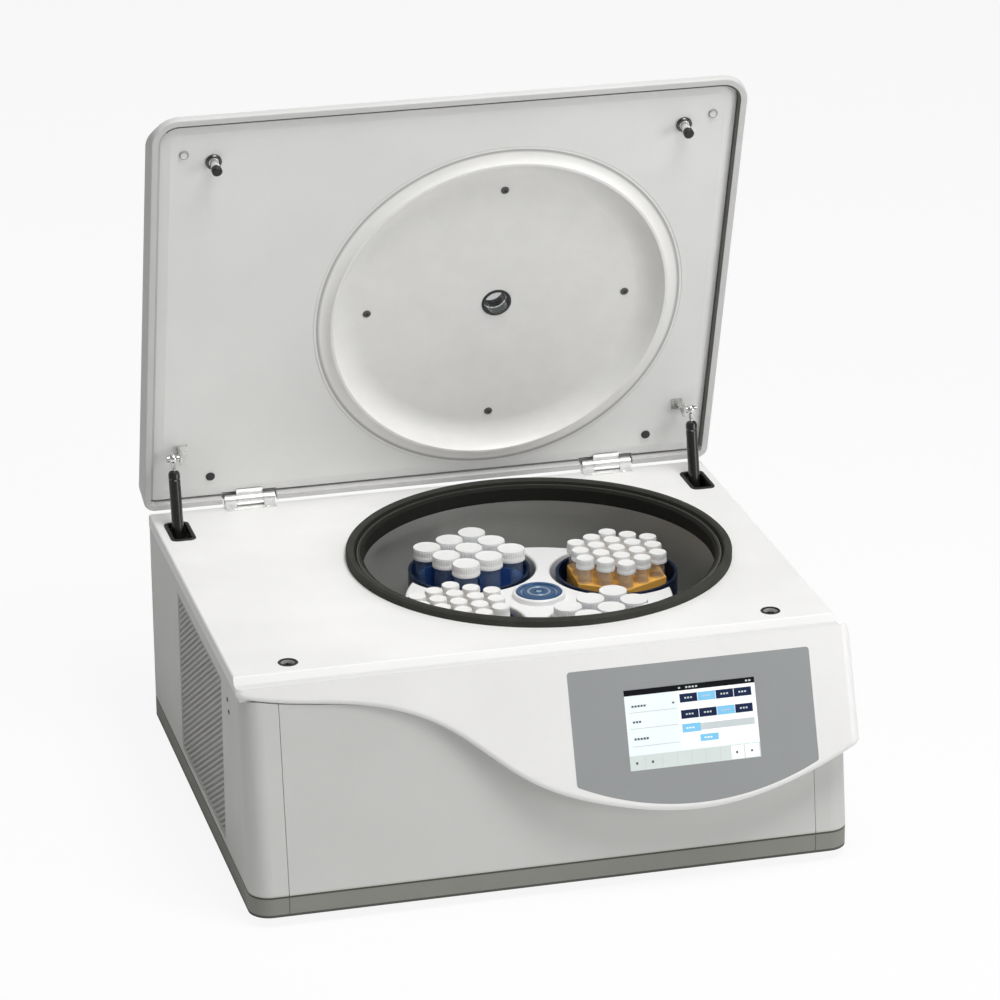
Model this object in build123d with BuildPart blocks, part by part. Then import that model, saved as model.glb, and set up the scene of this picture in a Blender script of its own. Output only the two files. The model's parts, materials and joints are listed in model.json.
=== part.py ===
from build123d import *
import os
from math import atan2, cos, radians, sin, sqrt

# A refrigerated benchtop centrifuge with a four-place swing-bucket rotor, standing open.
# Millimetres, +X to the user's right, +Y to the back, +Z up. The origin is on the bench,
# under the middle of the space that the instrument takes up with its lid open.

# ---------------------------------------------------------------- driving dimensions
# casing
body_width = 694.0
body_height = 260.0  # underside of the skirt to the top of the deck
skirt_height = 26.5
skirt_wall = 3.0
panel_wall = 3.0
corner_radius = 24.0
rear_corner_radius = 4.0
front_lean = 34.0  # how far back the front panel's upper edge stands
front_seam_inset = 42.0  # from the casing's side to the seam beside the front panel
seam_gap = 0.6
rear_panel_reach = 6.0  # how far the rear panel's flanges run forward
tray_thickness = 3.0
tray_lift = 4.0
foot_height = 12.0
foot_radius = 17.0
foot_inset = 70.0

# deck
deck_wall = 4.0
deck_lip = 15.0
deck_front_set = 76.5  # casing front to the front edge of the deck's flat
ledge_back = 68.0
ledge_front = 41.0
ledge_drop = 7.0
deck_edge_round = 3.0

# control housing, its face leaning back by face_lean degrees
housing_proud = 7.0  # beyond the casing's sides
housing_corner = 12.0
housing_rise = 1.0  # top lip above the deck
housing_top = 38.0  # casing front to the face's upper edge
housing_back_gap = 0.5
housing_depth = 34.0  # casing front to the back of the housing's underside
face_lean = 20.8
housing_wall = 4.0
housing_edge_round = 5.0
wave_left = 8.0  # drops of the wavy lower edge below the deck
wave_tip = (-315.0, 17.5)
wave_shelf = (-215.0, 30.0)
wave_shoulder = (-122.0, 62.5)
wave_slope = (-32.0, 128.0)
wave_toe = (60.0, 163.0)
wave_bottom = (170.0, 176.0)
wave_rise = (260.0, 161.0)
wave_right = 125.0

# fascia and touchscreen, measured down the housing's face from its upper edge
fascia_left = 20.0
fascia_right = 302.0
fascia_upper = 20.0
fascia_lower = 148.0
fascia_sag = 32.0
fascia_corner = 4.0
fascia_thickness = 2.0
display_width = 152.0
display_height = 90.0
display_centre = (159.0, 92.0)
module_border = 7.0
module_depth = 12.0

# chamber
chamber_x = 72.4
chamber_y = 341.0  # from the casing front
chamber_rear_gap = 4.2  # behind the armour ring
bowl_radius = 226.0
bowl_wall = 2.0
bowl_floor = 88.0  # above the skirt's underside
bowl_corner = 26.0
bowl_shaft_hole = 15.0
seal_outer = 226.5
seal_inner = 206.5
seal_height = 9.8
seal_skirt = 14.0
seal_skirt_wall = 3.0
seal_neck_clearance = 0.3
deck_hole = 214.0
insulation_floor = 20.0
insulation_gap = 0.3
insulation_wall = 4.8
armour_wall = 4.0
armour_leg_window = (90.0, 55.0)

# drive
motor_radius = 80.0
motor_height = 44.0
motor_flange_radius = 96.0
motor_flange = 5.0
mount_height = 14.0
mount_radius = 11.0
mount_circle_radius = 86.0
shaft_radius = 10.0
running_clearance = 0.05

# rotor, angles anticlockwise from +X seen from above
rotor_angle = 72.0
swing_radius = 125.0  # rotor axis to bucket axis
pin_height = 190.0  # above the skirt's underside
arm_tip_radius = 158.0
bucket_clear_radius = 80.0
rotor_top = 15.0  # above the pins
arm_depth = 42.0
hub_radius = 42.0
hub_drop = 78.0  # below the pins
hub_bore = 10.02
knob_radius = 27.0
knob_height = 8.0
knob_recess = 4.0
knob_play = 0.3
pin_radius = 5.0
pin_inner = 67.0
pin_embed = 10.0

# buckets and their loads, heights measured from the pins
bucket_radius = 73.0
bucket_wall = 3.5
bucket_rim = 13.0
bucket_depth = 80.0
shoulder_radius = 92.0  # about the pin axis, so that the bucket swings clear
boss_radius = 9.0
boss_inner = 63.0
adapter_gap = 0.4
large_disc_top = 8.0
small_disc_top = -10.0
rack_top = 21.0  # raised middle of an adapter
large_rack_radius = 56.0
small_rack_radius = 62.0
large_tube_radius = 14.5
large_tube_pitch = 35.6
large_cap_radius = 17.0
large_cap_height = 13.0
large_cap_top = 40.0
large_tube_tip = 70.5
large_tube_cone = 15.0
small_tube_radius = 8.3
small_tube_pitch = 25.5
small_cap_radius = 11.0
small_cap_height = 12.0
small_cap_top = 44.0
small_tube_tip = 70.5
small_tube_cone = 18.0
tube_hole_play = 0.3

# lid, in its own plane: x across, v from the hinge axis to the lid's front edge and
# w from the hinge axis towards the chamber
lid_open_angle = 74.0
hinge_rise = 8.0  # hinge axis above the deck
lid_overhang = 6.0  # beyond the casing's sides
lid_rear = -3.0
lid_front_set = 39.5  # casing front to the lid's front edge, lid closed
lid_back = 44.5  # outer face behind the hinge axis
lid_rim = 3.5  # rim in front of the hinge axis
lid_inner = -2.5  # inner panel's face
lid_corner = 32.0
lid_rear_corner = 14.5
lid_edge_round = 14.0
lid_front_edge = 5.0  # upright part of the front edge, behind the hinge axis
lid_front_slope = 33.5  # how far the front face falls back from there to the outer face
lid_rim_round = 2.0
lid_rim_wall = 8.0
lid_skin = 3.0
rim_groove = 3.0
liner_thickness = 3.0
liner_border = 12.5
liner_border_drop = 2.0
dish_shift = 1.0  # towards the front, from over the chamber's axis
dish_hole = 226.0
dish_play = 0.4
dish_outer_flat = 222.0
dish_cove = (212.0, 1.8)  # middle of the ring's outer curve: radius, and rise from the liner
dish_ring_outer = 206.5
dish_ring_inner = 203.5
dish_wall_foot = 172.0
dish_depth = 13.0
dish_thickness = 3.0
dish_screw_circle_radius = 158.7
dish_screw_radius = 5.0
dish_screw_head = 1.2
dish_screw_length = 14.0
window_radius = 15.0
window_ring_wall = 2.8
window_ring_proud = 1.2
glass_thickness = 4.0
glass_back = 30.0  # behind the hinge axis

# latch bolts, bumpers and locks
bolt_side_set = 67.4  # from the casing's side
bolt_front_set = 101.0  # from the casing front, lid closed
bolt_radius = 6.0
bolt_reach = 21.5
bolt_collar_radius = 9.5
bolt_collar = 3.0
latch_hole = 9.0
lock_width = 46.0
lock_depth = 44.0
lock_height = 38.0
lock_bore = 7.5
upper_bumper_set = (39.0, 49.5)  # from the lid's side and front edge
lower_bumper_set = (81.0, 40.5)  # from the lid's side and rear edge
bumper_radius = 5.5
bumper_proud = 2.5

# hinges
hinge_side_set = 123.5  # from the casing's side
knuckle_radius = 7.0
knuckle_length = 14.0
hinge_length = 61.0
knuckle_gap = 0.4
hinge_pin_radius = 3.0
hinge_leaf = 1.2
hinge_leaf_reach = 16.0
lid_leaf_reach = 14.0
hinge_notch = 9.0

# gas struts
strut_side_set = 25.7  # from the casing's side
ball_v = 80.8
ball_w = 13.2
anchor_set = 88.0  # lower pivot, from the casing's back
anchor_z = 100.0  # lower pivot, above the skirt's underside
ball_radius = 8.0
stud_radius = 4.0
bracket_plate = 2.5
bracket_width = 14.0
bracket_base = 11.0
stud_plate_offset = 9.0
tube_radius = 7.0
tube_bore = 5.4
tube_start = 11.0
tube_end = 132.0
rod_radius = 4.0
rod_start = 112.0
rod_guide = 8.0
eye_radius = 8.0
eye_width = 10.0
cheek_gap = 0.4
cheek_wall = 3.0
cheek_depth = 22.0
slot_width = 25.0
slot_front_play = 40.0  # deck slot ahead of the strut's own line
slot_rear_play = 15.0
slot_corner = 5.0
grommet_wall = 1.5
grommet_flange = 2.5
grommet_flange_height = 1.2

# refrigeration and mains
grille_front = 145.0  # opening in the left panel
grille_rear = 404.0
grille_low = 34.0
grille_high = 231.0
grille_thickness = 1.5
grille_set = 0.6
rear_grille_place = (152.0, 140.0)  # from the casing's left side, and above the skirt's underside
rear_grille_size = (230.0, 150.0)
condenser_thickness = 28.0
condenser_width = 240.0
condenser_height = 180.0
condenser_gap = 8.0
condenser_fin = 2.0
condenser_fins = 12
shroud_thickness = 16.0
fan_radius = 82.0
fan_play = 3.0
fan_hub = 24.0
fan_blades = 7
blade_width = 22.0
fan_depth = 10.0
motor_boss = 18.0
compressor_radius = 54.0
compressor_height = 150.0
compressor_place = (125.0, 153.0)  # from the casing's left side and back
compressor_foot = 12.0
inlet_side_set = 97.0  # from the casing's right side
inlet_z = 62.0
inlet_plate = (66.0, 36.0)
inlet_plate_thickness = 3.0
inlet_socket = (28.0, 22.0)
inlet_socket_depth = 20.0
inlet_wall = 3.0
socket_offset = -14.0
switch_offset = 19.0
switch_well = (17.0, 30.0)
switch_well_depth = 12.0
rocker_play = 0.4
rocker_throw = 8.0

# ---------------------------------------------------------------- derived places
tan_lean = sin(radians(face_lean)) / cos(radians(face_lean))
skirt_z = foot_height
deck_z = foot_height + body_height
panel_low = skirt_z + skirt_height
panel_high = deck_z - deck_lip
half_width = body_width / 2
armour_inner = bowl_radius + bowl_wall + insulation_wall
body_depth = chamber_y + armour_inner + armour_wall + chamber_rear_gap + panel_wall
housing_half = half_width + housing_proud
lid_half_width = half_width + lid_overhang
lid_front = body_depth - lid_front_set
strut_x = half_width - strut_side_set
hinge_x = half_width - hinge_side_set
inlet_x = half_width - inlet_side_set
bolt_x = half_width - bolt_side_set
bolt_v = body_depth - bolt_front_set
upper_bumper = (lid_half_width - upper_bumper_set[0], lid_front - upper_bumper_set[1])
lower_bumper = (lid_half_width - lower_bumper_set[0], lid_rear + lower_bumper_set[1])
rear_grille_centre = (-half_width + rear_grille_place[0], skirt_z + rear_grille_place[1])
hinge_z = deck_z + hinge_rise
open_sin = sin(radians(lid_open_angle))
open_cos = cos(radians(lid_open_angle))

# the body's front is placed so that the origin is midway between the housing's toe and the
# back of the open lid
toe_y = housing_top - (wave_bottom[1] + housing_rise) * tan_lean
round_gain = (1 / cos(radians(face_lean)) + tan_lean - 1) * housing_edge_round
front_reach = -(toe_y + round_gain)
rear_reach = (
    -(lid_rear + lid_edge_round) * open_cos
    + (lid_back - lid_edge_round) * open_sin
    + lid_edge_round
)
front_y = (front_reach - body_depth - rear_reach) / 2
rear_y = front_y + body_depth
hinge_y = rear_y
chamber_centre = (chamber_x, front_y + chamber_y)
pin_z = skirt_z + pin_height
tray_z = skirt_z + tray_lift
tray_top = tray_z + tray_thickness
dish_v = body_depth - chamber_y + dish_shift

lid_plane = Plane(origin=(0, hinge_y, hinge_z), x_dir=(1, 0, 0), z_dir=(0, -open_sin, -open_cos))
face_rise = (0, sin(radians(face_lean)), cos(radians(face_lean)))
face_plane = Plane(
    origin=(0, front_y + housing_top, deck_z + housing_rise),
    x_dir=(1, 0, 0),
    z_dir=(0, -cos(radians(face_lean)), sin(radians(face_lean))),
)
ball_point = lid_plane.from_local_coords(Vector(0, ball_v, ball_w))
anchor_point = Vector(0, rear_y - anchor_set, skirt_z + anchor_z)
strut_vector = anchor_point - ball_point
strut_length = strut_vector.length
strut_direction = strut_vector.normalized()


def save(piece, label):
    """Label a finished piece and write it as its own STEP file."""
    piece.label = label
    export_step(piece, f"parts/{label}.step")


os.makedirs("parts", exist_ok=True)


# ---------------------------------------------------------------- casing
def footprint(height, setback, inset):
    """Casing outline at one height, its front edge set back and all of it inset by a wall."""
    with BuildSketch(Plane.XY.offset(height)) as outline:
        with Locations((0, front_y + (body_depth + setback) / 2)):
            Rectangle(body_width - 2 * inset, body_depth - setback - 2 * inset)
        by_depth = outline.vertices().group_by(Axis.Y)
        fillet(by_depth[0], corner_radius - inset)
        by_depth = outline.vertices().group_by(Axis.Y)
        fillet(by_depth[-1], rear_corner_radius)
    return outline.sketch


def wave_face(raised, end_inset):
    """The region above the housing's wavy lower edge, seen from the front."""
    side = housing_half - end_inset
    base = deck_z + raised
    inner = [wave_tip, wave_shelf, wave_shoulder, wave_slope, wave_toe, wave_bottom, wave_rise]
    points = [(x, base - drop) for x, drop in inner]
    with BuildSketch(Plane.XZ.offset(-front_y)) as region:
        with BuildLine():
            Spline((-side, base - wave_left), *points, (side, base - wave_right))
            Polyline(
                (side, base - wave_right),
                (side, deck_z + ledge_front),
                (-side, deck_z + ledge_front),
                (-side, base - wave_left),
            )
        make_face()
    return region.sketch


def housing_block(wall):
    """The housing's outer form, or its hollow, which stops at the casing's sides."""
    top = deck_z + housing_rise - wall
    low = skirt_z + skirt_height
    face_shift = wall / cos(radians(face_lean)) + wall * tan_lean
    top_y = front_y + housing_top + face_shift
    low_y = top_y - (top - low) * tan_lean
    back = front_y + ledge_front - housing_back_gap + wall
    reach = 2 * (back - low_y)
    side = half_width if wall else housing_half
    with BuildPart() as block:
        with BuildSketch(Plane.XY.offset(low)) as plan:
            with Locations((0, low_y + reach / 2)):
                Rectangle(2 * side, reach)
            fillet(plan.vertices().group_by(Axis.Y)[0], housing_corner - wall)
        extrude(amount=(top - low) / cos(radians(face_lean)), dir=face_rise)
        with BuildSketch(Plane.YZ):
            with Locations(((low_y + back) / 2, (low + top) / 2)):
                Rectangle(back - low_y, top - low)
        extrude(amount=housing_half, both=True, mode=Mode.INTERSECT)
        extrude(wave_face(wall, wall), amount=body_depth, both=True, mode=Mode.INTERSECT)
    return block.part


with BuildPart() as casing:
    loft([footprint(panel_low, 0, 0), footprint(panel_high, front_lean, 0)])
    loft(
        [footprint(panel_low, 0, panel_wall), footprint(panel_high, front_lean, panel_wall)],
        mode=Mode.SUBTRACT,
    )
    extrude(wave_face(0, 0), amount=body_depth, mode=Mode.SUBTRACT)
    extrude(wave_face(0, 0), amount=-(ledge_front - housing_back_gap), mode=Mode.SUBTRACT)

seam_x = half_width - front_seam_inset
panel_span = panel_high - panel_low

with BuildPart() as front_panel:
    add(casing.part)
    with BuildSketch(Plane.XY.offset(panel_low)):
        with Locations((0, front_y)):
            Rectangle(2 * seam_x - seam_gap, body_depth)
    extrude(amount=panel_span, mode=Mode.INTERSECT)
save(front_panel.part, "front_panel")

with BuildPart() as rear_panel:
    add(casing.part)
    with BuildSketch(Plane.XY.offset(panel_low)):
        with Locations((0, rear_y)):
            Rectangle(body_width, 2 * rear_panel_reach)
    extrude(amount=panel_span, mode=Mode.INTERSECT)
    with BuildSketch(Plane.XZ.offset(-rear_y)):
        with Locations(rear_grille_centre):
            Rectangle(*rear_grille_size)
        with Locations((inlet_x, skirt_z + inlet_z)):
            Rectangle(inlet_plate[0] - 2 * inlet_wall, inlet_plate[1] - 2 * inlet_wall)
    extrude(amount=panel_wall, mode=Mode.SUBTRACT)
save(rear_panel.part, "rear_panel")


grille_centre = (front_y + (grille_front + grille_rear) / 2, skirt_z + (grille_low + grille_high) / 2)


def side_panel(side):
    """One side panel with its rounded front corner; side is -1 on the left, 1 on the right."""
    with BuildPart() as panel:
        add(casing.part)
        with BuildSketch(Plane.XY.offset(panel_low)):
            with Locations((side * half_width, front_y + (body_depth - rear_panel_reach) / 2 - seam_gap)):
                Rectangle(2 * front_seam_inset - seam_gap, body_depth - rear_panel_reach)
        extrude(amount=panel_span, mode=Mode.INTERSECT)
        if side < 0:
            with BuildSketch(Plane.YZ.offset(-half_width)):
                with Locations(grille_centre):
                    Rectangle(grille_rear - grille_front, grille_high - grille_low)
            extrude(amount=panel_wall, mode=Mode.SUBTRACT)
    return panel.part


side_panel_left = side_panel(-1)
save(side_panel_left, "side_panel_left")
side_panel_right = side_panel(1)
save(side_panel_right, "side_panel_right")

with BuildPart() as side_grille:
    with BuildSketch(Plane.YZ.offset(-half_width + grille_set)):
        with Locations(grille_centre):
            Rectangle(grille_rear - grille_front, grille_high - grille_low)
    extrude(amount=grille_thickness)
save(side_grille.part, "side_grille")

with BuildPart() as rear_grille:
    with BuildSketch(Plane.XZ.offset(-rear_y + grille_set)):
        with Locations(rear_grille_centre):
            Rectangle(*rear_grille_size)
    extrude(amount=grille_thickness)
save(rear_grille.part, "rear_grille")

with BuildPart() as skirt:
    extrude(footprint(skirt_z, 0, 0), amount=skirt_height)
    extrude(footprint(skirt_z, 0, skirt_wall), amount=skirt_height, mode=Mode.SUBTRACT)
save(skirt.part, "skirt")

with BuildPart() as base_tray:
    extrude(footprint(tray_z, 0, skirt_wall), amount=tray_thickness)
save(base_tray.part, "base_tray")

foot_y = front_y + body_depth / 2
with BuildPart() as feet:
    with BuildSketch():
        with Locations((0, foot_y)):
            with GridLocations(body_width - 2 * foot_inset, body_depth - 2 * foot_inset, 2, 2):
                Circle(foot_radius)
    extrude(amount=tray_z)
    chamfer(feet.edges().group_by(Axis.Z)[0], 1.5)
save(feet.part, "feet")


# ---------------------------------------------------------------- deck
def deck_profile(wall):
    """Side view of the deck: flat top, slope down to the ledge, open underside."""
    top = deck_z - wall
    ledge = deck_z - ledge_drop - wall
    low = panel_high
    with BuildSketch(Plane.YZ) as profile:
        with BuildLine():
            Polyline(
                (rear_y - wall, top),
                (front_y + deck_front_set + wall / 2, top),
                (front_y + ledge_back + wall / 2, ledge),
                (front_y + ledge_front + wall, ledge),
                (front_y + ledge_front + wall, low),
                (rear_y - wall, low),
                close=True,
            )
        make_face()
    return profile.sketch


strut_line_y = anchor_point.Y + strut_direction.Y * (deck_z - anchor_point.Z) / strut_direction.Z
strut_slot_y = strut_line_y + (slot_rear_play - slot_front_play) / 2
slot_length = slot_front_play + slot_rear_play
bolt_y = hinge_y - bolt_v
with BuildPart() as top_deck:
    extrude(deck_profile(0), amount=half_width, both=True)
    deck_top = top_deck.faces().sort_by(Axis.Z)[-1]
    fillet(deck_top.edges().filter_by(Axis.Y), deck_edge_round)
    extrude(deck_profile(deck_wall), amount=half_width - deck_wall, both=True, mode=Mode.SUBTRACT)
    with BuildSketch(Plane.XY.offset(deck_z)):
        with Locations(chamber_centre):
            Circle(deck_hole)
        with Locations((-bolt_x, bolt_y), (bolt_x, bolt_y)):
            Circle(latch_hole)
        with Locations((-strut_x, strut_slot_y), (strut_x, strut_slot_y)):
            RectangleRounded(slot_width, slot_length, slot_corner)
    extrude(amount=-deck_wall, mode=Mode.SUBTRACT)
save(top_deck.part, "top_deck")

with BuildPart() as strut_grommets:
    with BuildSketch(Plane.XY.offset(deck_z - deck_wall)):
        with Locations((-strut_x, strut_slot_y), (strut_x, strut_slot_y)):
            RectangleRounded(slot_width, slot_length, slot_corner)
    extrude(amount=deck_wall)
    with BuildSketch(Plane.XY.offset(deck_z)):
        with Locations((-strut_x, strut_slot_y), (strut_x, strut_slot_y)):
            RectangleRounded(
                slot_width + 2 * grommet_flange,
                slot_length + 2 * grommet_flange,
                slot_corner + grommet_flange,
            )
    extrude(amount=grommet_flange_height)
    with BuildSketch(Plane.XY.offset(deck_z - deck_wall)):
        with Locations((-strut_x, strut_slot_y), (strut_x, strut_slot_y)):
            RectangleRounded(
                slot_width - 2 * grommet_wall,
                slot_length - 2 * grommet_wall,
                slot_corner - grommet_wall,
            )
    extrude(amount=deck_wall + grommet_flange_height, mode=Mode.SUBTRACT)
save(strut_grommets.part, "strut_grommets")


# ---------------------------------------------------------------- control housing
def fascia_outline(play):
    """Fascia outline on the housing's face, with a sagging lower edge."""
    with BuildSketch(face_plane) as outline:
        with BuildLine():
            Polyline(
                (fascia_left + play, -fascia_lower),
                (fascia_left + play, -fascia_upper - play),
                (fascia_right - play, -fascia_upper - play),
                (fascia_right - play, -fascia_lower),
            )
            ThreePointArc(
                (fascia_right - play, -fascia_lower),
                ((fascia_left + fascia_right) / 2, -fascia_lower - fascia_sag + play),
                (fascia_left + play, -fascia_lower),
            )
        make_face()
        fillet(outline.vertices(), fascia_corner)
    return outline.sketch


def display_outline(border, depth=0.0):
    """Touchscreen outline on or behind the housing's face, widened by a border."""
    with BuildSketch(face_plane.offset(-depth)) as outline:
        with Locations((display_centre[0], -display_centre[1])):
            Rectangle(display_width + 2 * border, display_height + 2 * border)
    return outline.sketch


with BuildPart() as control_housing:
    add(housing_block(0))
    lower_edges = control_housing.edges().filter_by(GeomType.BSPLINE).sort_by(Axis.Y)
    fillet(lower_edges[0], housing_edge_round)
    add(housing_block(housing_wall), mode=Mode.SUBTRACT)
    extrude(fascia_outline(0), amount=-fascia_thickness, mode=Mode.SUBTRACT)
    extrude(display_outline(module_border), amount=-2 * housing_wall, mode=Mode.SUBTRACT)
save(control_housing.part, "control_housing")

with BuildPart() as fascia_panel:
    extrude(fascia_outline(0), amount=-fascia_thickness)
    extrude(display_outline(0), amount=-fascia_thickness, mode=Mode.SUBTRACT)
save(fascia_panel.part, "fascia_panel")

with BuildPart() as touchscreen:
    extrude(display_outline(0), amount=-fascia_thickness)
    extrude(display_outline(module_border, fascia_thickness), amount=-module_depth)
save(touchscreen.part, "touchscreen")

# ---------------------------------------------------------------- chamber
chamber_base = Plane(origin=(chamber_centre[0], chamber_centre[1], 0))


def chamber_section():
    """Vertical plane through the chamber's axis, for turned pieces."""
    return Plane(origin=(chamber_centre[0], chamber_centre[1], 0), x_dir=(1, 0, 0), z_dir=(0, -1, 0))


chamber_axis = Axis((chamber_centre[0], chamber_centre[1], 0), (0, 0, 1))
bowl_z = skirt_z + bowl_floor
bowl_top = deck_z - deck_wall

with BuildPart() as chamber_bowl:
    with BuildSketch(chamber_section()) as bowl_shape:
        with BuildLine():
            Polyline(
                (bowl_shaft_hole, bowl_z - bowl_wall),
                (bowl_radius + bowl_wall, bowl_z - bowl_wall),
                (bowl_radius + bowl_wall, bowl_top),
                (bowl_radius, bowl_top),
                (bowl_radius, bowl_z),
                (bowl_shaft_hole, bowl_z),
                close=True,
            )
        make_face()
        outer_wall = bowl_shape.vertices().group_by(Axis.X)[-1]
        fillet(outer_wall.sort_by(Axis.Y)[0], bowl_corner + bowl_wall)
        floor_level = bowl_shape.vertices().filter_by(lambda v: abs(v.Y - bowl_z) < 0.01)
        fillet(floor_level.sort_by(Axis.X)[-1], bowl_corner)
    revolve(axis=chamber_axis)
save(chamber_bowl.part, "chamber_bowl")

with BuildPart() as chamber_insulation:
    with BuildSketch(chamber_section()):
        with BuildLine():
            Polyline(
                (shaft_radius + 8, bowl_z - bowl_wall),
                (shaft_radius + 8, bowl_z - bowl_wall - insulation_floor),
                (armour_inner - insulation_gap, bowl_z - bowl_wall - insulation_floor),
                (armour_inner - insulation_gap, bowl_top - bowl_wall),
                (bowl_radius + bowl_wall, bowl_top - bowl_wall),
                (bowl_radius + bowl_wall, bowl_z - bowl_wall),
                close=True,
            )
        make_face()
    revolve(axis=chamber_axis)
save(chamber_insulation.part, "chamber_insulation")

with BuildPart() as armour_ring:
    with BuildSketch(chamber_base.offset(tray_top)):
        Circle(armour_inner + armour_wall)
        Circle(armour_inner, mode=Mode.SUBTRACT)
    extrude(amount=deck_z - deck_wall - bowl_wall - tray_top)
    with BuildSketch(chamber_base.offset(tray_top)):
        for turn in (45, 135):
            Rectangle(4 * armour_inner, armour_leg_window[0], rotation=turn)
    extrude(amount=armour_leg_window[1], mode=Mode.SUBTRACT)
save(armour_ring.part, "armour_ring")

neck = deck_hole - seal_neck_clearance
skirt_outer = seal_inner + seal_skirt_wall
with BuildPart() as chamber_seal:
    with BuildSketch(chamber_section()):
        with BuildLine():
            Polyline(
                (seal_outer, deck_z),
                (seal_outer, deck_z + 0.75 * seal_height),
                (seal_outer - 2.5, deck_z + seal_height),
                (seal_outer - 7.5, deck_z + seal_height),
                (seal_outer - 10, deck_z + 0.7 * seal_height),
                (seal_outer - 12, deck_z + 0.3 * seal_height),
                (seal_outer - 13.5, deck_z + 0.5 * seal_height),
                (seal_inner + 3.5, deck_z + 0.5 * seal_height),
                (seal_inner, deck_z + 0.2 * seal_height),
                (seal_inner, deck_z - seal_skirt),
                (skirt_outer, deck_z - seal_skirt),
                (skirt_outer, deck_z - deck_wall),
                (neck, deck_z - deck_wall),
                (neck, deck_z),
                close=True,
            )
        make_face()
    revolve(axis=chamber_axis)
save(chamber_seal.part, "chamber_seal")

# ---------------------------------------------------------------- drive
motor_z = tray_top + mount_height
with BuildPart() as motor_mounts:
    with BuildSketch(chamber_base.offset(tray_top)):
        with PolarLocations(mount_circle_radius, 3, start_angle=90):
            Circle(mount_radius)
    extrude(amount=mount_height)
save(motor_mounts.part, "motor_mounts")

with BuildPart() as motor_housing:
    with BuildSketch(chamber_base.offset(motor_z)):
        Circle(motor_flange_radius)
    extrude(amount=motor_flange)
    with BuildSketch(chamber_base.offset(motor_z)):
        Circle(motor_radius)
    extrude(amount=motor_height)
    fillet(motor_housing.edges().group_by(Axis.Z)[-1], 4)
    with BuildSketch(chamber_base.offset(motor_z + motor_flange)):
        Circle(shaft_radius + running_clearance)
    extrude(amount=motor_height, mode=Mode.SUBTRACT)
save(motor_housing.part, "motor_housing")

shaft_low = motor_z + motor_flange + 0.3
shaft_high = pin_z - arm_depth / 2
with BuildPart() as drive_shaft:
    with BuildSketch(chamber_base.offset(shaft_low)):
        Circle(shaft_radius)
    extrude(amount=shaft_high - shaft_low)
    chamfer(drive_shaft.edges().group_by(Axis.Z)[-1], 2)
save(drive_shaft.part, "drive_shaft")


# ---------------------------------------------------------------- rotor
def bucket_angle(place):
    """Direction of a bucket, halfway between two arms; place counts from 0 to 3."""
    return rotor_angle + 45 + 90 * place


def bucket_plane(place):
    """Plane at a bucket's pins: x outwards along the radius, y along the pins, z up."""
    turn = radians(bucket_angle(place))
    return Plane(
        origin=(
            chamber_centre[0] + swing_radius * cos(turn),
            chamber_centre[1] + swing_radius * sin(turn),
            pin_z,
        ),
        x_dir=(cos(turn), sin(turn), 0),
        z_dir=(0, 0, 1),
    )


def pin_face(place, side, along):
    """Plane across a bucket's pins, at a distance from the bucket's axis on one side."""
    plane = bucket_plane(place)
    outward = plane.y_dir * side
    return Plane(origin=plane.origin + outward * along, x_dir=plane.x_dir, z_dir=outward)


rotor_high = pin_z + rotor_top
with BuildPart() as rotor_cross:
    with BuildSketch(chamber_base.offset(rotor_high - arm_depth)):
        Circle(arm_tip_radius)
        with PolarLocations(swing_radius, 4, start_angle=bucket_angle(0)):
            Circle(bucket_clear_radius, mode=Mode.SUBTRACT)
    extrude(amount=arm_depth)
    fillet(rotor_cross.edges().group_by(Axis.Z)[-1], 3)
    with BuildSketch(chamber_base.offset(pin_z - hub_drop)):
        Circle(hub_radius)
    extrude(amount=hub_drop)
    for place in range(4):
        for side in (-1, 1):
            with BuildSketch(pin_face(place, side, pin_inner)):
                Circle(pin_radius)
            extrude(amount=bucket_clear_radius - pin_inner + pin_embed)
    with BuildSketch(chamber_base.offset(rotor_high - knob_recess)):
        Circle(knob_radius + knob_play)
    extrude(amount=knob_recess, mode=Mode.SUBTRACT)
    with BuildSketch(chamber_base.offset(pin_z - hub_drop)):
        Circle(hub_bore)
    extrude(amount=shaft_high - pin_z + hub_drop + knob_play, mode=Mode.SUBTRACT)
save(rotor_cross.part, "rotor_cross")

knob_low = rotor_high - knob_recess
with BuildPart() as rotor_knob:
    with BuildSketch(chamber_base.offset(knob_low)):
        Circle(knob_radius)
    extrude(amount=knob_recess + knob_height)
    fillet(rotor_knob.edges().group_by(Axis.Z)[-1], 3)
    with BuildSketch(chamber_base.offset(knob_low + knob_recess + knob_height - 2)):
        with PolarLocations(0.55 * knob_radius, 3, start_angle=rotor_angle):
            SlotOverall(0.42 * knob_radius, 5, rotation=90)
    extrude(amount=2, mode=Mode.SUBTRACT)
save(rotor_knob.part, "rotor_knob")


def bucket_section(place):
    """Vertical plane through a bucket's axis and the rotor's axis."""
    plane = bucket_plane(place)
    return Plane(origin=plane.origin, x_dir=plane.x_dir, z_dir=-plane.y_dir)


def shoulder_height(radius, shoulder):
    """Depth below the pins at which a rounded shoulder has this radius."""
    return sqrt(shoulder**2 - radius**2)


def vessel_profile(section, radius, shoulder, depth, top):
    """Half outline of a round vessel whose lower corner is rounded about the pin axis."""
    side = shoulder_height(radius, shoulder)
    foot = sqrt(shoulder**2 - depth**2)
    middle = atan2(side + depth, radius + foot)
    with BuildSketch(section) as half:
        with BuildLine():
            Polyline((foot, -depth), (0, -depth), (0, top), (radius, top), (radius, -side))
            ThreePointArc((radius, -side), (shoulder * cos(middle), -shoulder * sin(middle)), (foot, -depth))
        make_face()
    return half.sketch


inner_radius = bucket_radius - bucket_wall
inner_shoulder = shoulder_radius - bucket_wall
inner_depth = bucket_depth - bucket_wall


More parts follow.
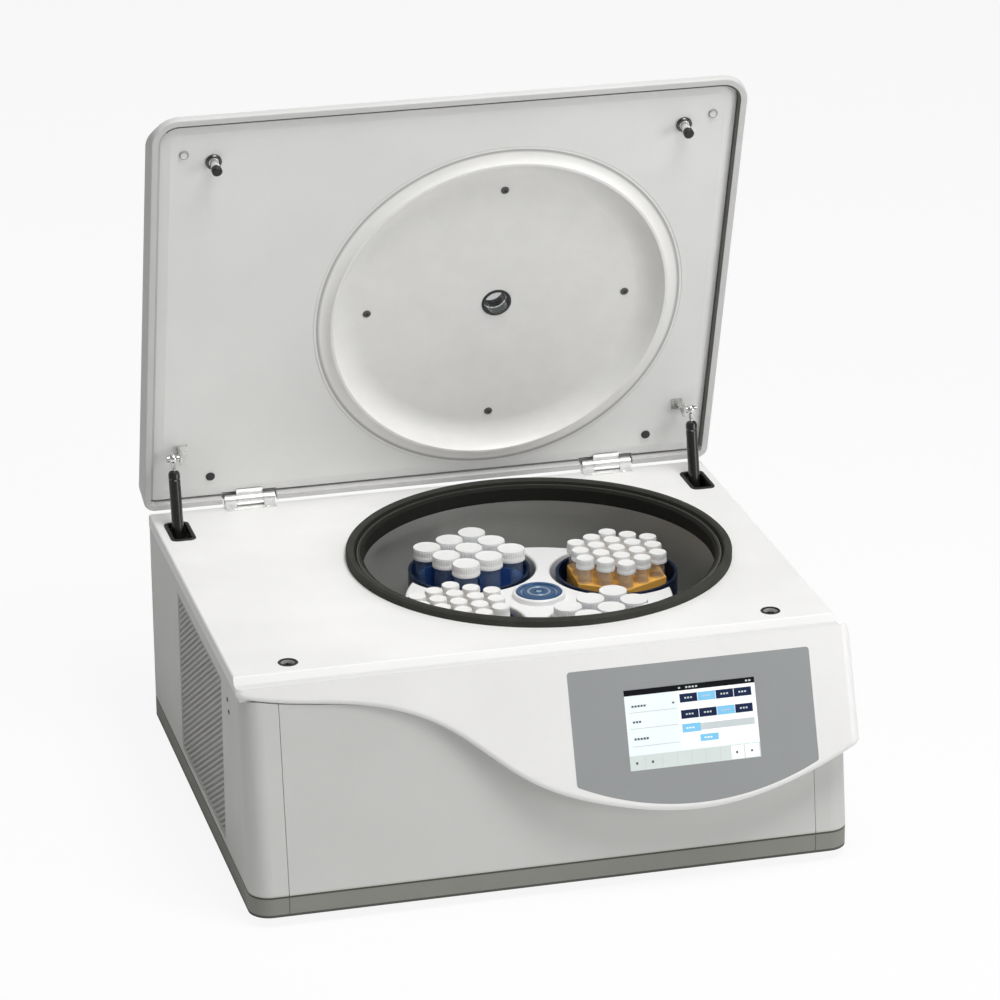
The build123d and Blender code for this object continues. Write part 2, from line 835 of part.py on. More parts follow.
def bucket(place):
    """A round swing bucket with bosses inside its wall for the two pins."""
    section = bucket_section(place)
    plane = bucket_plane(place)
    axis = Axis(plane.origin, (0, 0, 1))
    outer = vessel_profile(section, bucket_radius, shoulder_radius, bucket_depth, bucket_rim)
    inner = vessel_profile(section, inner_radius, inner_shoulder, inner_depth, bucket_rim)
    with BuildPart() as vessel:
        revolve(outer, axis=axis)
        revolve(inner, axis=axis, mode=Mode.SUBTRACT)
        for side in (-1, 1):
            with BuildSketch(pin_face(place, side, boss_inner)):
                Circle(boss_radius)
            extrude(amount=bucket_radius - bucket_wall / 2 - boss_inner)
            with BuildSketch(pin_face(place, side, pin_inner - knob_play)):
                Circle(pin_radius + running_clearance)
            extrude(amount=bucket_radius, mode=Mode.SUBTRACT)
    return vessel.part


def grid_places():
    """Nine large tubes in a square of three by three."""
    return [(large_tube_pitch * i, large_tube_pitch * j) for i in (-1, 0, 1) for j in (-1, 0, 1)]


def hexagon_places():
    """Nineteen small tubes in a hexagon."""
    places = []
    for row in range(-2, 3):
        count = 5 - abs(row)
        for step in range(count):
            along = small_tube_pitch * (step - (count - 1) / 2)
            places.append((along, row * small_tube_pitch * sqrt(3) / 2))
    return places


def adapter(place, places, radius, rack_radius, disc_top):
    """A block that fills the bucket above its shoulder, with a raised rack, bored for its tubes."""
    plane = bucket_plane(place)
    outer = inner_radius - adapter_gap
    low = -shoulder_height(outer, inner_shoulder) + adapter_gap
    with BuildPart() as block:
        with BuildSketch(plane.offset(low)):
            Circle(outer)
        extrude(amount=disc_top - low)
        with BuildSketch(plane.offset(disc_top)):
            Circle(rack_radius)
        extrude(amount=rack_top - disc_top)
        with BuildSketch(plane.offset(low)):
            with Locations(*places):
                Circle(radius + tube_hole_play)
        extrude(amount=rack_top - low, mode=Mode.SUBTRACT)
        for side in (-1, 1):
            with BuildSketch(pin_face(place, side, boss_inner - adapter_gap)):
                Circle(boss_radius + adapter_gap)
                with Locations((0, -side * boss_radius)):
                    Rectangle(2 * (boss_radius + adapter_gap), 2 * boss_radius)
            extrude(amount=bucket_radius, mode=Mode.SUBTRACT)
    return block.part


def tube(place, spot, radius, tip, cone, cap_radius, cap_height, cap_top):
    """A conical tube and its screw cap, as two solids."""
    plane = bucket_plane(place)
    section = bucket_section(place)
    centre = plane.from_local_coords(Vector(spot[0], spot[1], 0))
    own = Plane(origin=centre, x_dir=section.x_dir, z_dir=section.z_dir)
    axis = Axis(centre, (0, 0, 1))
    cap_low = cap_top - cap_height
    with BuildPart() as body:
        with BuildSketch(own):
            with BuildLine():
                Polyline(
                    (0, -tip),
                    (0, cap_low),
                    (radius, cap_low),
                    (radius, -tip + cone),
                    (0.15 * radius, -tip),
                    close=True,
                )
            make_face()
        revolve(axis=axis)
    with BuildPart() as cap:
        with BuildSketch(Plane(origin=centre).offset(cap_low)):
            Circle(cap_radius)
        extrude(amount=cap_height)
    return [body.part, cap.part]


def tube_set(place, large):
    """All the tubes of one bucket."""
    solids = []
    if large:
        for spot in grid_places():
            solids += tube(
                place, spot, large_tube_radius, large_tube_tip, large_tube_cone,
                large_cap_radius, large_cap_height, large_cap_top,
            )
    else:
        for spot in hexagon_places():
            solids += tube(
                place, spot, small_tube_radius, small_tube_tip, small_tube_cone,
                small_cap_radius, small_cap_height, small_cap_top,
            )
    return Compound(children=solids)


bucket_names = ("rear_left", "front_left", "front_right", "rear_right")
for place, name in enumerate(bucket_names):
    large = place % 2 == 0
    save(bucket(place), f"bucket_{name}")
    if large:
        block = adapter(place, grid_places(), large_tube_radius, large_rack_radius, large_disc_top)
    else:
        block = adapter(place, hexagon_places(), small_tube_radius, small_rack_radius, small_disc_top)
    save(block, f"adapter_{name}")
    save(tube_set(place, large), f"tubes_{name}")


# ---------------------------------------------------------------- lid
def lid_outline(w, inset, fall=0):
    """Lid outline parallel to the lid's plane, inset all round and its front edge fallen back."""
    front = lid_front - fall - inset
    rear = lid_rear + inset
    with BuildSketch(lid_plane.offset(w)) as outline:
        with Locations((0, (front + rear) / 2)):
            Rectangle(2 * (lid_half_width - inset), front - rear)
        fillet(outline.vertices().group_by(Axis.Y)[0], max(lid_rear_corner - inset, 1))
        fillet(outline.vertices().group_by(Axis.Y)[-1], max(lid_corner - inset, 1))
    return outline.sketch


def front_fall(w):
    """How far the sloping front face has fallen back at this depth."""
    return lid_front_slope * (-w - lid_front_edge) / (lid_back - lid_front_edge)


dish_x = chamber_x
notch_half = hinge_length / 2 + 3
with BuildPart() as lid_shell:
    extrude(lid_outline(-lid_front_edge, 0), amount=lid_front_edge + lid_rim)
    loft([lid_outline(-lid_front_edge, 0), lid_outline(-lid_back, 0, lid_front_slope)])
    back_face = lid_shell.faces().sort_by(Axis(lid_plane.origin, lid_plane.z_dir))[0]
    front_face = lid_shell.faces().sort_by(Axis(lid_plane.origin, lid_plane.z_dir))[-1]
    fillet(back_face.edges(), lid_edge_round)
    fillet(front_face.edges(), lid_rim_round)
    cavity_back = -lid_back + lid_skin
    extrude(lid_outline(-lid_front_edge, lid_rim_wall), amount=lid_front_edge + lid_rim, mode=Mode.SUBTRACT)
    cavity_mouth = lid_outline(-lid_front_edge, lid_rim_wall)
    cavity_floor = lid_outline(cavity_back, lid_rim_wall, front_fall(cavity_back))
    loft([cavity_mouth, cavity_floor], mode=Mode.SUBTRACT)
    with BuildSketch(lid_plane.offset(-hinge_notch)):
        with Locations((-hinge_x, lid_rear), (hinge_x, lid_rear)):
            Rectangle(2 * notch_half, 2 * (hinge_notch - lid_rear))
    extrude(amount=lid_back, mode=Mode.SUBTRACT)
    with BuildSketch(lid_plane.offset(-lid_back)):
        with Locations((dish_x, dish_v)):
            Circle(window_radius + window_ring_wall + dish_play)
    extrude(amount=lid_skin, mode=Mode.SUBTRACT)
save(lid_shell.part, "lid_shell")

with BuildPart() as lid_liner:
    border_edge = lid_rim_wall + rim_groove
    border_level = lid_inner - liner_border_drop
    extrude(lid_outline(lid_inner - liner_thickness, border_edge), amount=liner_thickness - liner_border_drop)
    loft([lid_outline(border_level, border_edge), lid_outline(lid_inner, border_edge + liner_border)])
    with BuildSketch(lid_plane.offset(lid_inner)):
        with Locations((dish_x, dish_v)):
            Circle(dish_hole)
    extrude(amount=-liner_thickness, mode=Mode.SUBTRACT)
    with BuildSketch(lid_plane.offset(lid_inner)):
        with Locations((-hinge_x, 0), (hinge_x, 0)):
            Rectangle(2 * notch_half, 2 * (hinge_notch + 1))
    extrude(amount=-liner_thickness, mode=Mode.SUBTRACT)
save(lid_liner.part, "lid_liner")

dish_centre = lid_plane.from_local_coords((dish_x, dish_v, 0))
dish_plane = Plane(origin=dish_centre, x_dir=(1, 0, 0), z_dir=-lid_plane.y_dir)
dish_axis = Axis(dish_plane.origin, lid_plane.z_dir)
dish_floor = lid_inner - dish_depth
ring_radius = window_radius + window_ring_wall

# the dish's wall is an arc that leaves the floor without a crease
wall_run = dish_ring_inner - dish_wall_foot
wall_rise = lid_rim - dish_floor
wall_radius = (wall_run**2 + wall_rise**2) / (2 * wall_rise)
wall_turn = atan2(wall_run, wall_radius - wall_rise) / 2
wall_middle = Vector(dish_wall_foot, dish_floor) + Vector(sin(wall_turn), 1 - cos(wall_turn)) * wall_radius

with BuildPart() as lid_dish:
    with BuildSketch(dish_plane):
        with BuildLine():
            Polyline(
                (ring_radius + dish_play, dish_floor),
                (dish_wall_foot, dish_floor),
            )
            ThreePointArc(
                (dish_wall_foot, dish_floor),
                (wall_middle.X, wall_middle.Y),
                (dish_ring_inner, lid_rim),
            )
            Line((dish_ring_inner, lid_rim), (dish_ring_outer, lid_rim))
            ThreePointArc(
                (dish_ring_outer, lid_rim),
                (dish_cove[0], lid_inner + dish_cove[1]),
                (dish_outer_flat, lid_inner),
            )
            Polyline(
                (dish_outer_flat, lid_inner),
                (dish_hole - dish_play, lid_inner),
                (dish_hole - dish_play, lid_inner - dish_thickness),
                (dish_outer_flat - 3, lid_inner - dish_thickness),
                (dish_outer_flat - 3, dish_floor - dish_thickness),
                (ring_radius + dish_play, dish_floor - dish_thickness),
                (ring_radius + dish_play, dish_floor),
            )
        make_face()
    revolve(axis=dish_axis)
    with BuildSketch(lid_plane.offset(dish_floor)):
        with Locations((dish_x, dish_v)):
            with PolarLocations(dish_screw_circle_radius, 4):
                Circle(dish_screw_radius / 2)
    extrude(amount=-dish_thickness, mode=Mode.SUBTRACT)
save(lid_dish.part, "lid_dish")

with BuildPart() as lid_core:
    with BuildSketch(lid_plane.offset(-lid_back + lid_skin)):
        with Locations((dish_x, dish_v)):
            Circle(dish_wall_foot)
            Circle(ring_radius + dish_play, mode=Mode.SUBTRACT)
            with PolarLocations(dish_screw_circle_radius, 4):
                Circle(dish_screw_radius / 2, mode=Mode.SUBTRACT)
    extrude(amount=lid_back - lid_skin + dish_floor - dish_thickness)
save(lid_core.part, "lid_core")

with BuildPart() as dish_screws:
    with BuildSketch(lid_plane.offset(dish_floor)):
        with Locations((dish_x, dish_v)):
            with PolarLocations(dish_screw_circle_radius, 4):
                Circle(dish_screw_radius)
    extrude(amount=dish_screw_head)
    chamfer(dish_screws.edges().group_by(Axis(lid_plane.origin, lid_plane.z_dir))[-1], 0.6)
    with BuildSketch(lid_plane.offset(dish_floor)):
        with Locations((dish_x, dish_v)):
            with PolarLocations(dish_screw_circle_radius, 4):
                Circle(dish_screw_radius / 2)
    extrude(amount=-dish_screw_length)
save(dish_screws.part, "dish_screws")

with BuildPart() as window_ring:
    with BuildSketch(lid_plane.offset(-lid_back)):
        with Locations((dish_x, dish_v)):
            Circle(ring_radius)
            Circle(window_radius, mode=Mode.SUBTRACT)
    extrude(amount=lid_back + dish_floor + window_ring_proud)
save(window_ring.part, "window_ring")

with BuildPart() as lid_window:
    with BuildSketch(lid_plane.offset(-glass_back)):
        with Locations((dish_x, dish_v)):
            Circle(window_radius)
    extrude(amount=glass_thickness)
save(lid_window.part, "lid_window")

with BuildPart() as latch_bolts:
    with BuildSketch(lid_plane.offset(lid_inner)):
        with Locations((-bolt_x, bolt_v), (bolt_x, bolt_v)):
            Circle(bolt_collar_radius)
    extrude(amount=bolt_collar)
    with BuildSketch(lid_plane.offset(lid_inner)):
        with Locations((-bolt_x, bolt_v), (bolt_x, bolt_v)):
            Circle(bolt_radius)
    extrude(amount=bolt_reach - lid_inner)
    chamfer(latch_bolts.edges().group_by(Axis(lid_plane.origin, lid_plane.z_dir))[-1], 1.5)
save(latch_bolts.part, "latch_bolts")

with BuildPart() as lid_bumpers:
    with BuildSketch(lid_plane.offset(lid_inner)):
        with Locations(
            (-upper_bumper[0], upper_bumper[1]),
            upper_bumper,
            (-lower_bumper[0], lower_bumper[1]),
            lower_bumper,
        ):
            Circle(bumper_radius)
    extrude(amount=bumper_proud)
    chamfer(lid_bumpers.edges().group_by(Axis(lid_plane.origin, lid_plane.z_dir))[-1], 0.8)
save(lid_bumpers.part, "lid_bumpers")

lock_top = deck_z - deck_wall
with BuildPart() as lid_locks:
    with BuildSketch(Plane.XY.offset(lock_top - lock_height)):
        with Locations((-bolt_x, bolt_y), (bolt_x, bolt_y)):
            Rectangle(lock_width, lock_depth)
            Circle(lock_bore, mode=Mode.SUBTRACT)
    extrude(amount=lock_height)
save(lid_locks.part, "lid_locks")

# ---------------------------------------------------------------- hinges
hinge_axis_plane = Plane(origin=(0, hinge_y, hinge_z), x_dir=(0, 1, 0), z_dir=(1, 0, 0))
knuckle_centres = [
    side * hinge_x + end * (hinge_length - knuckle_length) / 2 for side in (-1, 1) for end in (-1, 1)
]
with BuildPart() as hinge_brackets:
    for x in knuckle_centres:
        with BuildSketch(hinge_axis_plane.offset(x - knuckle_length / 2)):
            Circle(knuckle_radius)
            with Locations((0, -hinge_rise / 2)):
                Rectangle(2 * knuckle_radius, hinge_rise)
            Circle(hinge_pin_radius, mode=Mode.SUBTRACT)
        extrude(amount=knuckle_length)
    with BuildSketch(Plane.XY.offset(deck_z)):
        with Locations((-hinge_x, hinge_y - hinge_leaf_reach / 2), (hinge_x, hinge_y - hinge_leaf_reach / 2)):
            Rectangle(hinge_length, hinge_leaf_reach)
    extrude(amount=hinge_leaf)
    for side in (-1, 1):
        centre_width = hinge_length - 2 * knuckle_length
        with BuildSketch(hinge_axis_plane.offset(side * hinge_x - centre_width / 2)):
            Circle(knuckle_radius + knuckle_gap)
        extrude(amount=centre_width, mode=Mode.SUBTRACT)
save(hinge_brackets.part, "hinge_brackets")

with BuildPart() as hinge_pins:
    for side in (-1, 1):
        with BuildSketch(hinge_axis_plane.offset(side * hinge_x - hinge_length / 2 - 1)):
            Circle(hinge_pin_radius)
        extrude(amount=hinge_length + 2)
save(hinge_pins.part, "hinge_pins")

centre_length = hinge_length - 2 * knuckle_length - 2 * knuckle_gap
with BuildPart() as lid_knuckles:
    for side in (-1, 1):
        with BuildSketch(hinge_axis_plane.offset(side * hinge_x - centre_length / 2)):
            Circle(knuckle_radius)
        extrude(amount=centre_length)
    with BuildSketch(lid_plane.offset(lid_inner)):
        with Locations((-hinge_x, lid_leaf_reach / 2), (hinge_x, lid_leaf_reach / 2)):
            Rectangle(centre_length, lid_leaf_reach)
    extrude(amount=hinge_leaf)
    for side in (-1, 1):
        with BuildSketch(hinge_axis_plane.offset(side * hinge_x - centre_length / 2)):
            Circle(hinge_pin_radius + running_clearance)
        extrude(amount=centre_length, mode=Mode.SUBTRACT)
save(lid_knuckles.part, "lid_knuckles")

# ---------------------------------------------------------------- gas struts
def strut_plane(side, along):
    """Plane across a strut, at a distance below its upper ball."""
    origin = ball_point + strut_direction * along + Vector(side * strut_x, 0, 0)
    return Plane(origin=origin, x_dir=(1, 0, 0), z_dir=strut_direction)


with BuildPart() as strut_brackets:
    for side in (-1, 1):
        plate_x = side * (strut_x - stud_plate_offset)
        with BuildSketch(lid_plane.offset(lid_inner)):
            with Locations((plate_x - side * bracket_base / 2, ball_v)):
                Rectangle(bracket_base, bracket_width)
        extrude(amount=bracket_plate)
        with BuildSketch(lid_plane.offset(lid_inner)):
            with Locations((plate_x, ball_v)):
                Rectangle(bracket_plate, bracket_width)
        extrude(amount=ball_w - lid_inner + 6)
        stud_origin = ball_point + Vector(plate_x, 0, 0)
        with BuildSketch(Plane(origin=stud_origin, x_dir=(0, 1, 0), z_dir=(side, 0, 0))):
            Circle(stud_radius)
        extrude(amount=stud_plate_offset + ball_radius - 0.5)
save(strut_brackets.part, "strut_brackets")


def strut_tube(side):
    """Gas cylinder with its upper ball socket, turned about the strut's own axis."""
    centre = ball_point + Vector(side * strut_x, 0, 0)
    section = Plane(origin=centre, x_dir=(1, 0, 0), z_dir=Vector(1, 0, 0).cross(strut_direction))
    neck = sqrt(ball_radius**2 - rod_radius**2)
    guide = rod_radius + running_clearance
    with BuildPart() as cylinder:
        with BuildSketch(section):
            with BuildLine():
                ThreePointArc((0, -ball_radius), (ball_radius, 0), (rod_radius, neck))
                Polyline(
                    (rod_radius, neck),
                    (rod_radius, tube_start),
                    (tube_radius - 1, tube_start),
                    (tube_radius, tube_start + 1),
                    (tube_radius, tube_end - 1),
                    (tube_radius - 1, tube_end),
                    (guide, tube_end),
                    (guide, tube_end - rod_guide),
                    (tube_bore, tube_end - rod_guide),
                    (tube_bore, tube_start + 5),
                    (0, tube_start + 5),
                    (0, -ball_radius),
                )
            make_face()
        revolve(axis=Axis(centre, strut_direction))
        with BuildSketch(Plane(origin=centre, x_dir=(0, 1, 0), z_dir=(1, 0, 0)).offset(-2 * ball_radius)):
            Circle(stud_radius + running_clearance)
        extrude(amount=4 * ball_radius, mode=Mode.SUBTRACT)
        with BuildSketch(Plane(origin=centre, x_dir=(0, 1, 0), z_dir=(-side, 0, 0)).offset(ball_radius - 2)):
            Rectangle(3 * ball_radius, 3 * ball_radius)
        extrude(amount=ball_radius, mode=Mode.SUBTRACT)
    return cylinder.part


def strut_rod(side):
    """Piston rod with its lower eye."""
    with BuildPart() as rod:
        with BuildSketch(strut_plane(side, rod_start)):
            Circle(rod_radius)
        extrude(amount=strut_length - rod_start)
        eye_origin = anchor_point + Vector(side * strut_x - eye_width / 2, 0, 0)
        with BuildSketch(Plane(origin=eye_origin, x_dir=(0, 1, 0), z_dir=(1, 0, 0))):
            Circle(eye_radius)
        extrude(amount=eye_width)
        with BuildSketch(Plane(origin=eye_origin, x_dir=(0, 1, 0), z_dir=(1, 0, 0))):
            Circle(stud_radius)
        extrude(amount=eye_width, mode=Mode.SUBTRACT)
    return rod.part


for side, hand in ((-1, "left"), (1, "right")):
    save(strut_tube(side), f"strut_tube_{hand}")
    save(strut_rod(side), f"strut_rod_{hand}")

cheek_x = eye_width / 2 + cheek_gap + cheek_wall / 2
with BuildPart() as strut_anchors:
    for side in (-1, 1):
        post_width = 2 * cheek_x + cheek_wall
        with BuildSketch(Plane.XY.offset(tray_top)):
            with Locations((side * strut_x, anchor_point.Y)):
                Rectangle(post_width, cheek_depth)
        extrude(amount=anchor_point.Z - eye_radius - 4 - tray_top)
        with BuildSketch(Plane.XY.offset(tray_top)):
            with Locations((side * strut_x, anchor_point.Y)):
                with GridLocations(2 * cheek_x, 0, 2, 1):
                    Rectangle(cheek_wall, cheek_depth)
        extrude(amount=anchor_point.Z + eye_radius - tray_top)
save(strut_anchors.part, "strut_anchors")

# ---------------------------------------------------------------- refrigeration
cooler_y = grille_centre[0]
cooler_z = tray_top + condenser_height / 2
condenser_x = -half_width + panel_wall + condenser_gap
with BuildPart() as condenser:
    with BuildSketch(Plane.YZ.offset(condenser_x)):
        with Locations((cooler_y, cooler_z)):
            Rectangle(condenser_width, condenser_height)
    extrude(amount=condenser_thickness)
    gap_pitch = condenser_width / condenser_fins
    for face_x in (condenser_x, condenser_x + condenser_thickness):
        with BuildSketch(Plane.YZ.offset(face_x)):
            with Locations((cooler_y, cooler_z)):
                with GridLocations(gap_pitch, 0, condenser_fins, 1):
                    Rectangle(gap_pitch - condenser_fin, condenser_height - 2 * condenser_gap)
        extrude(amount=condenser_gap / 2, both=True, mode=Mode.SUBTRACT)
save(condenser.part, "condenser")

shroud_x = condenser_x + condenser_thickness
with BuildPart() as fan_shroud:
    with BuildSketch(Plane.YZ.offset(shroud_x)):
        with Locations((cooler_y, cooler_z)):
            Rectangle(condenser_width, condenser_height)
            Circle(fan_radius + fan_play, mode=Mode.SUBTRACT)
    extrude(amount=shroud_thickness)
    with BuildSketch(Plane.YZ.offset(shroud_x + shroud_thickness)):
        with Locations((cooler_y, cooler_z)):
            for turn in (0, 90):
                Rectangle(condenser_width, 8, rotation=turn)
            Circle(motor_boss)
            Rectangle(condenser_width, condenser_height, mode=Mode.INTERSECT)
    extrude(amount=3)
    with BuildSketch(Plane.YZ.offset(shroud_x + fan_depth)):
        with Locations((cooler_y, cooler_z)):
            Circle(4)
    extrude(amount=shroud_thickness - fan_depth + 3)
save(fan_shroud.part, "fan_shroud")

fan_face = Plane(origin=(shroud_x + 2, cooler_y, cooler_z), x_dir=(0, 1, 0), z_dir=(1, 0, 0))
with BuildPart() as fan_rotor:
    with BuildSketch(fan_face):
        Circle(fan_hub)
        for blade in range(fan_blades):
            turn = 360 * blade / fan_blades
            reach = (fan_radius + fan_hub) / 2 - 3
            with Locations((reach * cos(radians(turn)), reach * sin(radians(turn)))):
                Rectangle(fan_radius - fan_hub, blade_width, rotation=turn + 8)
        Circle(fan_radius, mode=Mode.INTERSECT)
    extrude(amount=fan_depth)
    with BuildSketch(fan_face.offset(fan_depth - 2.4)):
        Circle(4 + running_clearance)
    extrude(amount=fan_depth, mode=Mode.SUBTRACT)
save(fan_rotor.part, "fan_rotor")

compressor_plane = Plane(origin=(-half_width + compressor_place[0], rear_y - compressor_place[1], tray_top))
with BuildPart() as compressor:
    with BuildSketch(compressor_plane):
        Rectangle(2 * compressor_radius - 8, 2 * compressor_radius - 8)
    extrude(amount=compressor_foot)
    with BuildSketch(compressor_plane.offset(compressor_foot)):
        Circle(compressor_radius)
    extrude(amount=compressor_height)
    fillet(compressor.edges().group_by(Axis.Z)[-1], 0.5 * compressor_radius)
save(compressor.part, "compressor")

# ---------------------------------------------------------------- mains inlet and switch
inlet_plane = Plane(origin=(inlet_x, rear_y, skirt_z + inlet_z), x_dir=(-1, 0, 0), z_dir=(0, 1, 0))
with BuildPart() as mains_inlet:
    with BuildSketch(inlet_plane):
        RectangleRounded(*inlet_plate, 3)
    extrude(amount=inlet_plate_thickness)
    with BuildSketch(inlet_plane):
        Rectangle(inlet_plate[0] - 2 * inlet_wall, inlet_plate[1] - 2 * inlet_wall)
    extrude(amount=-(inlet_socket_depth + inlet_wall - inlet_plate_thickness))
    with BuildSketch(inlet_plane.offset(inlet_plate_thickness)):
        with Locations((socket_offset, 0)):
            Rectangle(*inlet_socket)
    extrude(amount=-inlet_socket_depth, mode=Mode.SUBTRACT)
    with BuildSketch(inlet_plane.offset(inlet_plate_thickness - inlet_socket_depth)):
        with Locations((socket_offset - 7, -3), (socket_offset + 7, -3), (socket_offset, -7)):
            Rectangle(2, 6)
    extrude(amount=0.75 * inlet_socket_depth)
    with BuildSketch(inlet_plane.offset(inlet_plate_thickness)):
        with Locations((switch_offset, 0)):
            Rectangle(*switch_well)
    extrude(amount=-switch_well_depth, mode=Mode.SUBTRACT)
save(mains_inlet.part, "mains_inlet")

rocker_width = switch_well[0] - 2 * rocker_play
rocker_x = inlet_x - switch_offset
rocker_y = rear_y + inlet_plate_thickness - switch_well_depth / 2
rocker_half = switch_well[1] / 2 - 2
with BuildPart() as mains_switch:
    with BuildSketch(Plane(origin=(rocker_x, rocker_y, skirt_z + inlet_z), x_dir=(0, 1, 0), z_dir=(1, 0, 0))):
        with BuildLine():
            Polyline(
                (-3.5, -5),
                (0, -rocker_half + 1),
                (6.5, -rocker_half),
                (4.5, 0),
                (6.5, rocker_half),
                (0, rocker_half - 1),
                (-3.5, 5),
                close=True,
            )
        make_face()
    extrude(amount=rocker_width / 2, both=True)
rocker_axis = Axis((rocker_x, rocker_y, skirt_z + inlet_z), (1, 0, 0))
save(mains_switch.part.rotate(rocker_axis, -rocker_throw), "mains_switch")
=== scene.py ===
import json
from math import asin, atan2, cos, pi, radians, sin, sqrt

import bmesh
import bpy
from mathutils import Matrix, Vector


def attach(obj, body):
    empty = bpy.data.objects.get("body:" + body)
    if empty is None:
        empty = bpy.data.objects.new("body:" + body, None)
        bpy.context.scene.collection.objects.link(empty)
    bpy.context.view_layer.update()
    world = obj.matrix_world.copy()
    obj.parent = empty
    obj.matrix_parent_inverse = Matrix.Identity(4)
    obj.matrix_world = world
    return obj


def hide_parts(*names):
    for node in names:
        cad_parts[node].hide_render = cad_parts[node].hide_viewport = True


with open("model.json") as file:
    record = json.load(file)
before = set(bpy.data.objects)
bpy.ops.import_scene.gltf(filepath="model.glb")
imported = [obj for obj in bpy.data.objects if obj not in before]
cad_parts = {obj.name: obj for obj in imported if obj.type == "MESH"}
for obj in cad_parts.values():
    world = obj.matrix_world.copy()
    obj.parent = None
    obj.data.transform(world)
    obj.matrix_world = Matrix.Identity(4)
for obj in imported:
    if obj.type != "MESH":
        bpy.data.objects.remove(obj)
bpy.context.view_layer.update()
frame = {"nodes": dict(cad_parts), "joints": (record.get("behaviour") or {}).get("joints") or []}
nodes = frame["nodes"]
joints = {joint["name"]: joint for joint in frame["joints"]}
mm = 0.001
per_metre = 1000.0


def anchor(name):
    """A joint's own place, in millimetres."""
    return [round(distance * per_metre, 3) for distance in joints[name]["pos_m"]]


# ---------------------------------------------------------------- places, in millimetres, as in the CAD
rotor_x, rotor_y, pin_z = anchor("rotor_spin")
chamber = Vector((rotor_x, rotor_y, 0))
rotor_angle = 72.0
swing_radius = 125.0

_, hinge_y, hinge_z = anchor("lid_hinge")
open_angle = radians(joints["lid_hinge"]["range_deg"][1])
open_sin = sin(open_angle)
open_cos = cos(open_angle)

body_depth = 585.0
body_height = 260.0
half_width = 347.0
skirt_height = 26.5
skirt_z = 12.0
skirt_top = skirt_z + skirt_height
deck_z = skirt_z + body_height
rear_y = hinge_y
front_y = rear_y - body_depth

housing_top = 38.0  # from the casing's front to the upper edge of the housing's face
housing_rise = 1.0
face_lean = radians(20.8)

lid_half_width = 353.0
lid_corner = 32.0
lid_front = 545.5  # from the hinge along the lid
dish_v = 245.0
latch_x = 279.6
latch_v = 484.0
liner_w = -2.5
dish_floor_w = -15.5


def lid_point(x, v, w):
    """A place on the lid, from across, up its plane and towards the chamber."""
    return Vector((x, hinge_y - open_cos * v - open_sin * w, hinge_z + open_sin * v - open_cos * w))


towards_chamber = Vector((0, -open_sin, -open_cos))
face_axes = (
    Vector((1, 0, 0)),
    Vector((0, sin(face_lean), cos(face_lean))),
    Vector((0, -cos(face_lean), sin(face_lean))),
)
face_origin = Vector((0, front_y + housing_top, deck_z + housing_rise))
upright = (0, 0, 1)


# ---------------------------------------------------------------- node writing
class Signal:
    """A socket that adds Math nodes when it is used in an expression."""

    def __init__(self, wiring, socket):
        self.wiring = wiring
        self.socket = socket

    def combine(self, operation, first, second=0.0):
        return self.wiring.node("ShaderNodeMath", {"operation": operation}, {0: first, 1: second})

    def __add__(self, other):
        return self.combine("ADD", self, other)

    def __radd__(self, other):
        return self.combine("ADD", other, self)

    def __sub__(self, other):
        return self.combine("SUBTRACT", self, other)

    def __rsub__(self, other):
        return self.combine("SUBTRACT", other, self)

    def __mul__(self, other):
        return self.combine("MULTIPLY", self, other)

    def __rmul__(self, other):
        return self.combine("MULTIPLY", other, self)

    def __truediv__(self, other):
        return self.combine("DIVIDE", self, other)

    def __mod__(self, other):
        return self.combine("FLOORED_MODULO", self, other)

    def __gt__(self, other):
        return self.combine("GREATER_THAN", self, other)

    def __lt__(self, other):
        return self.combine("LESS_THAN", self, other)


class Wiring:
    """Nodes of one tree, each made by one call."""

    def node(self, kind, settings=None, values=None, output=0):
        """A node of one type: its settings first, then the values or links of its sockets."""
        made = self.tree.nodes.new(kind)
        for key, value in (settings or {}).items():
            if key == "stops":
                ramp = made.color_ramp
                while len(ramp.elements) < len(value):
                    ramp.elements.new(0.5)
                for element, (position, tone) in zip(ramp.elements, value):
                    element.position = position
                    element.color = tone
            else:
                setattr(made, key, value)
        for key, value in (values or {}).items():
            socket = made.inputs[key]
            if isinstance(value, Signal):
                self.tree.links.new(value.socket, socket)
            else:
                socket.default_value = value
        return Signal(self, made.outputs[output])


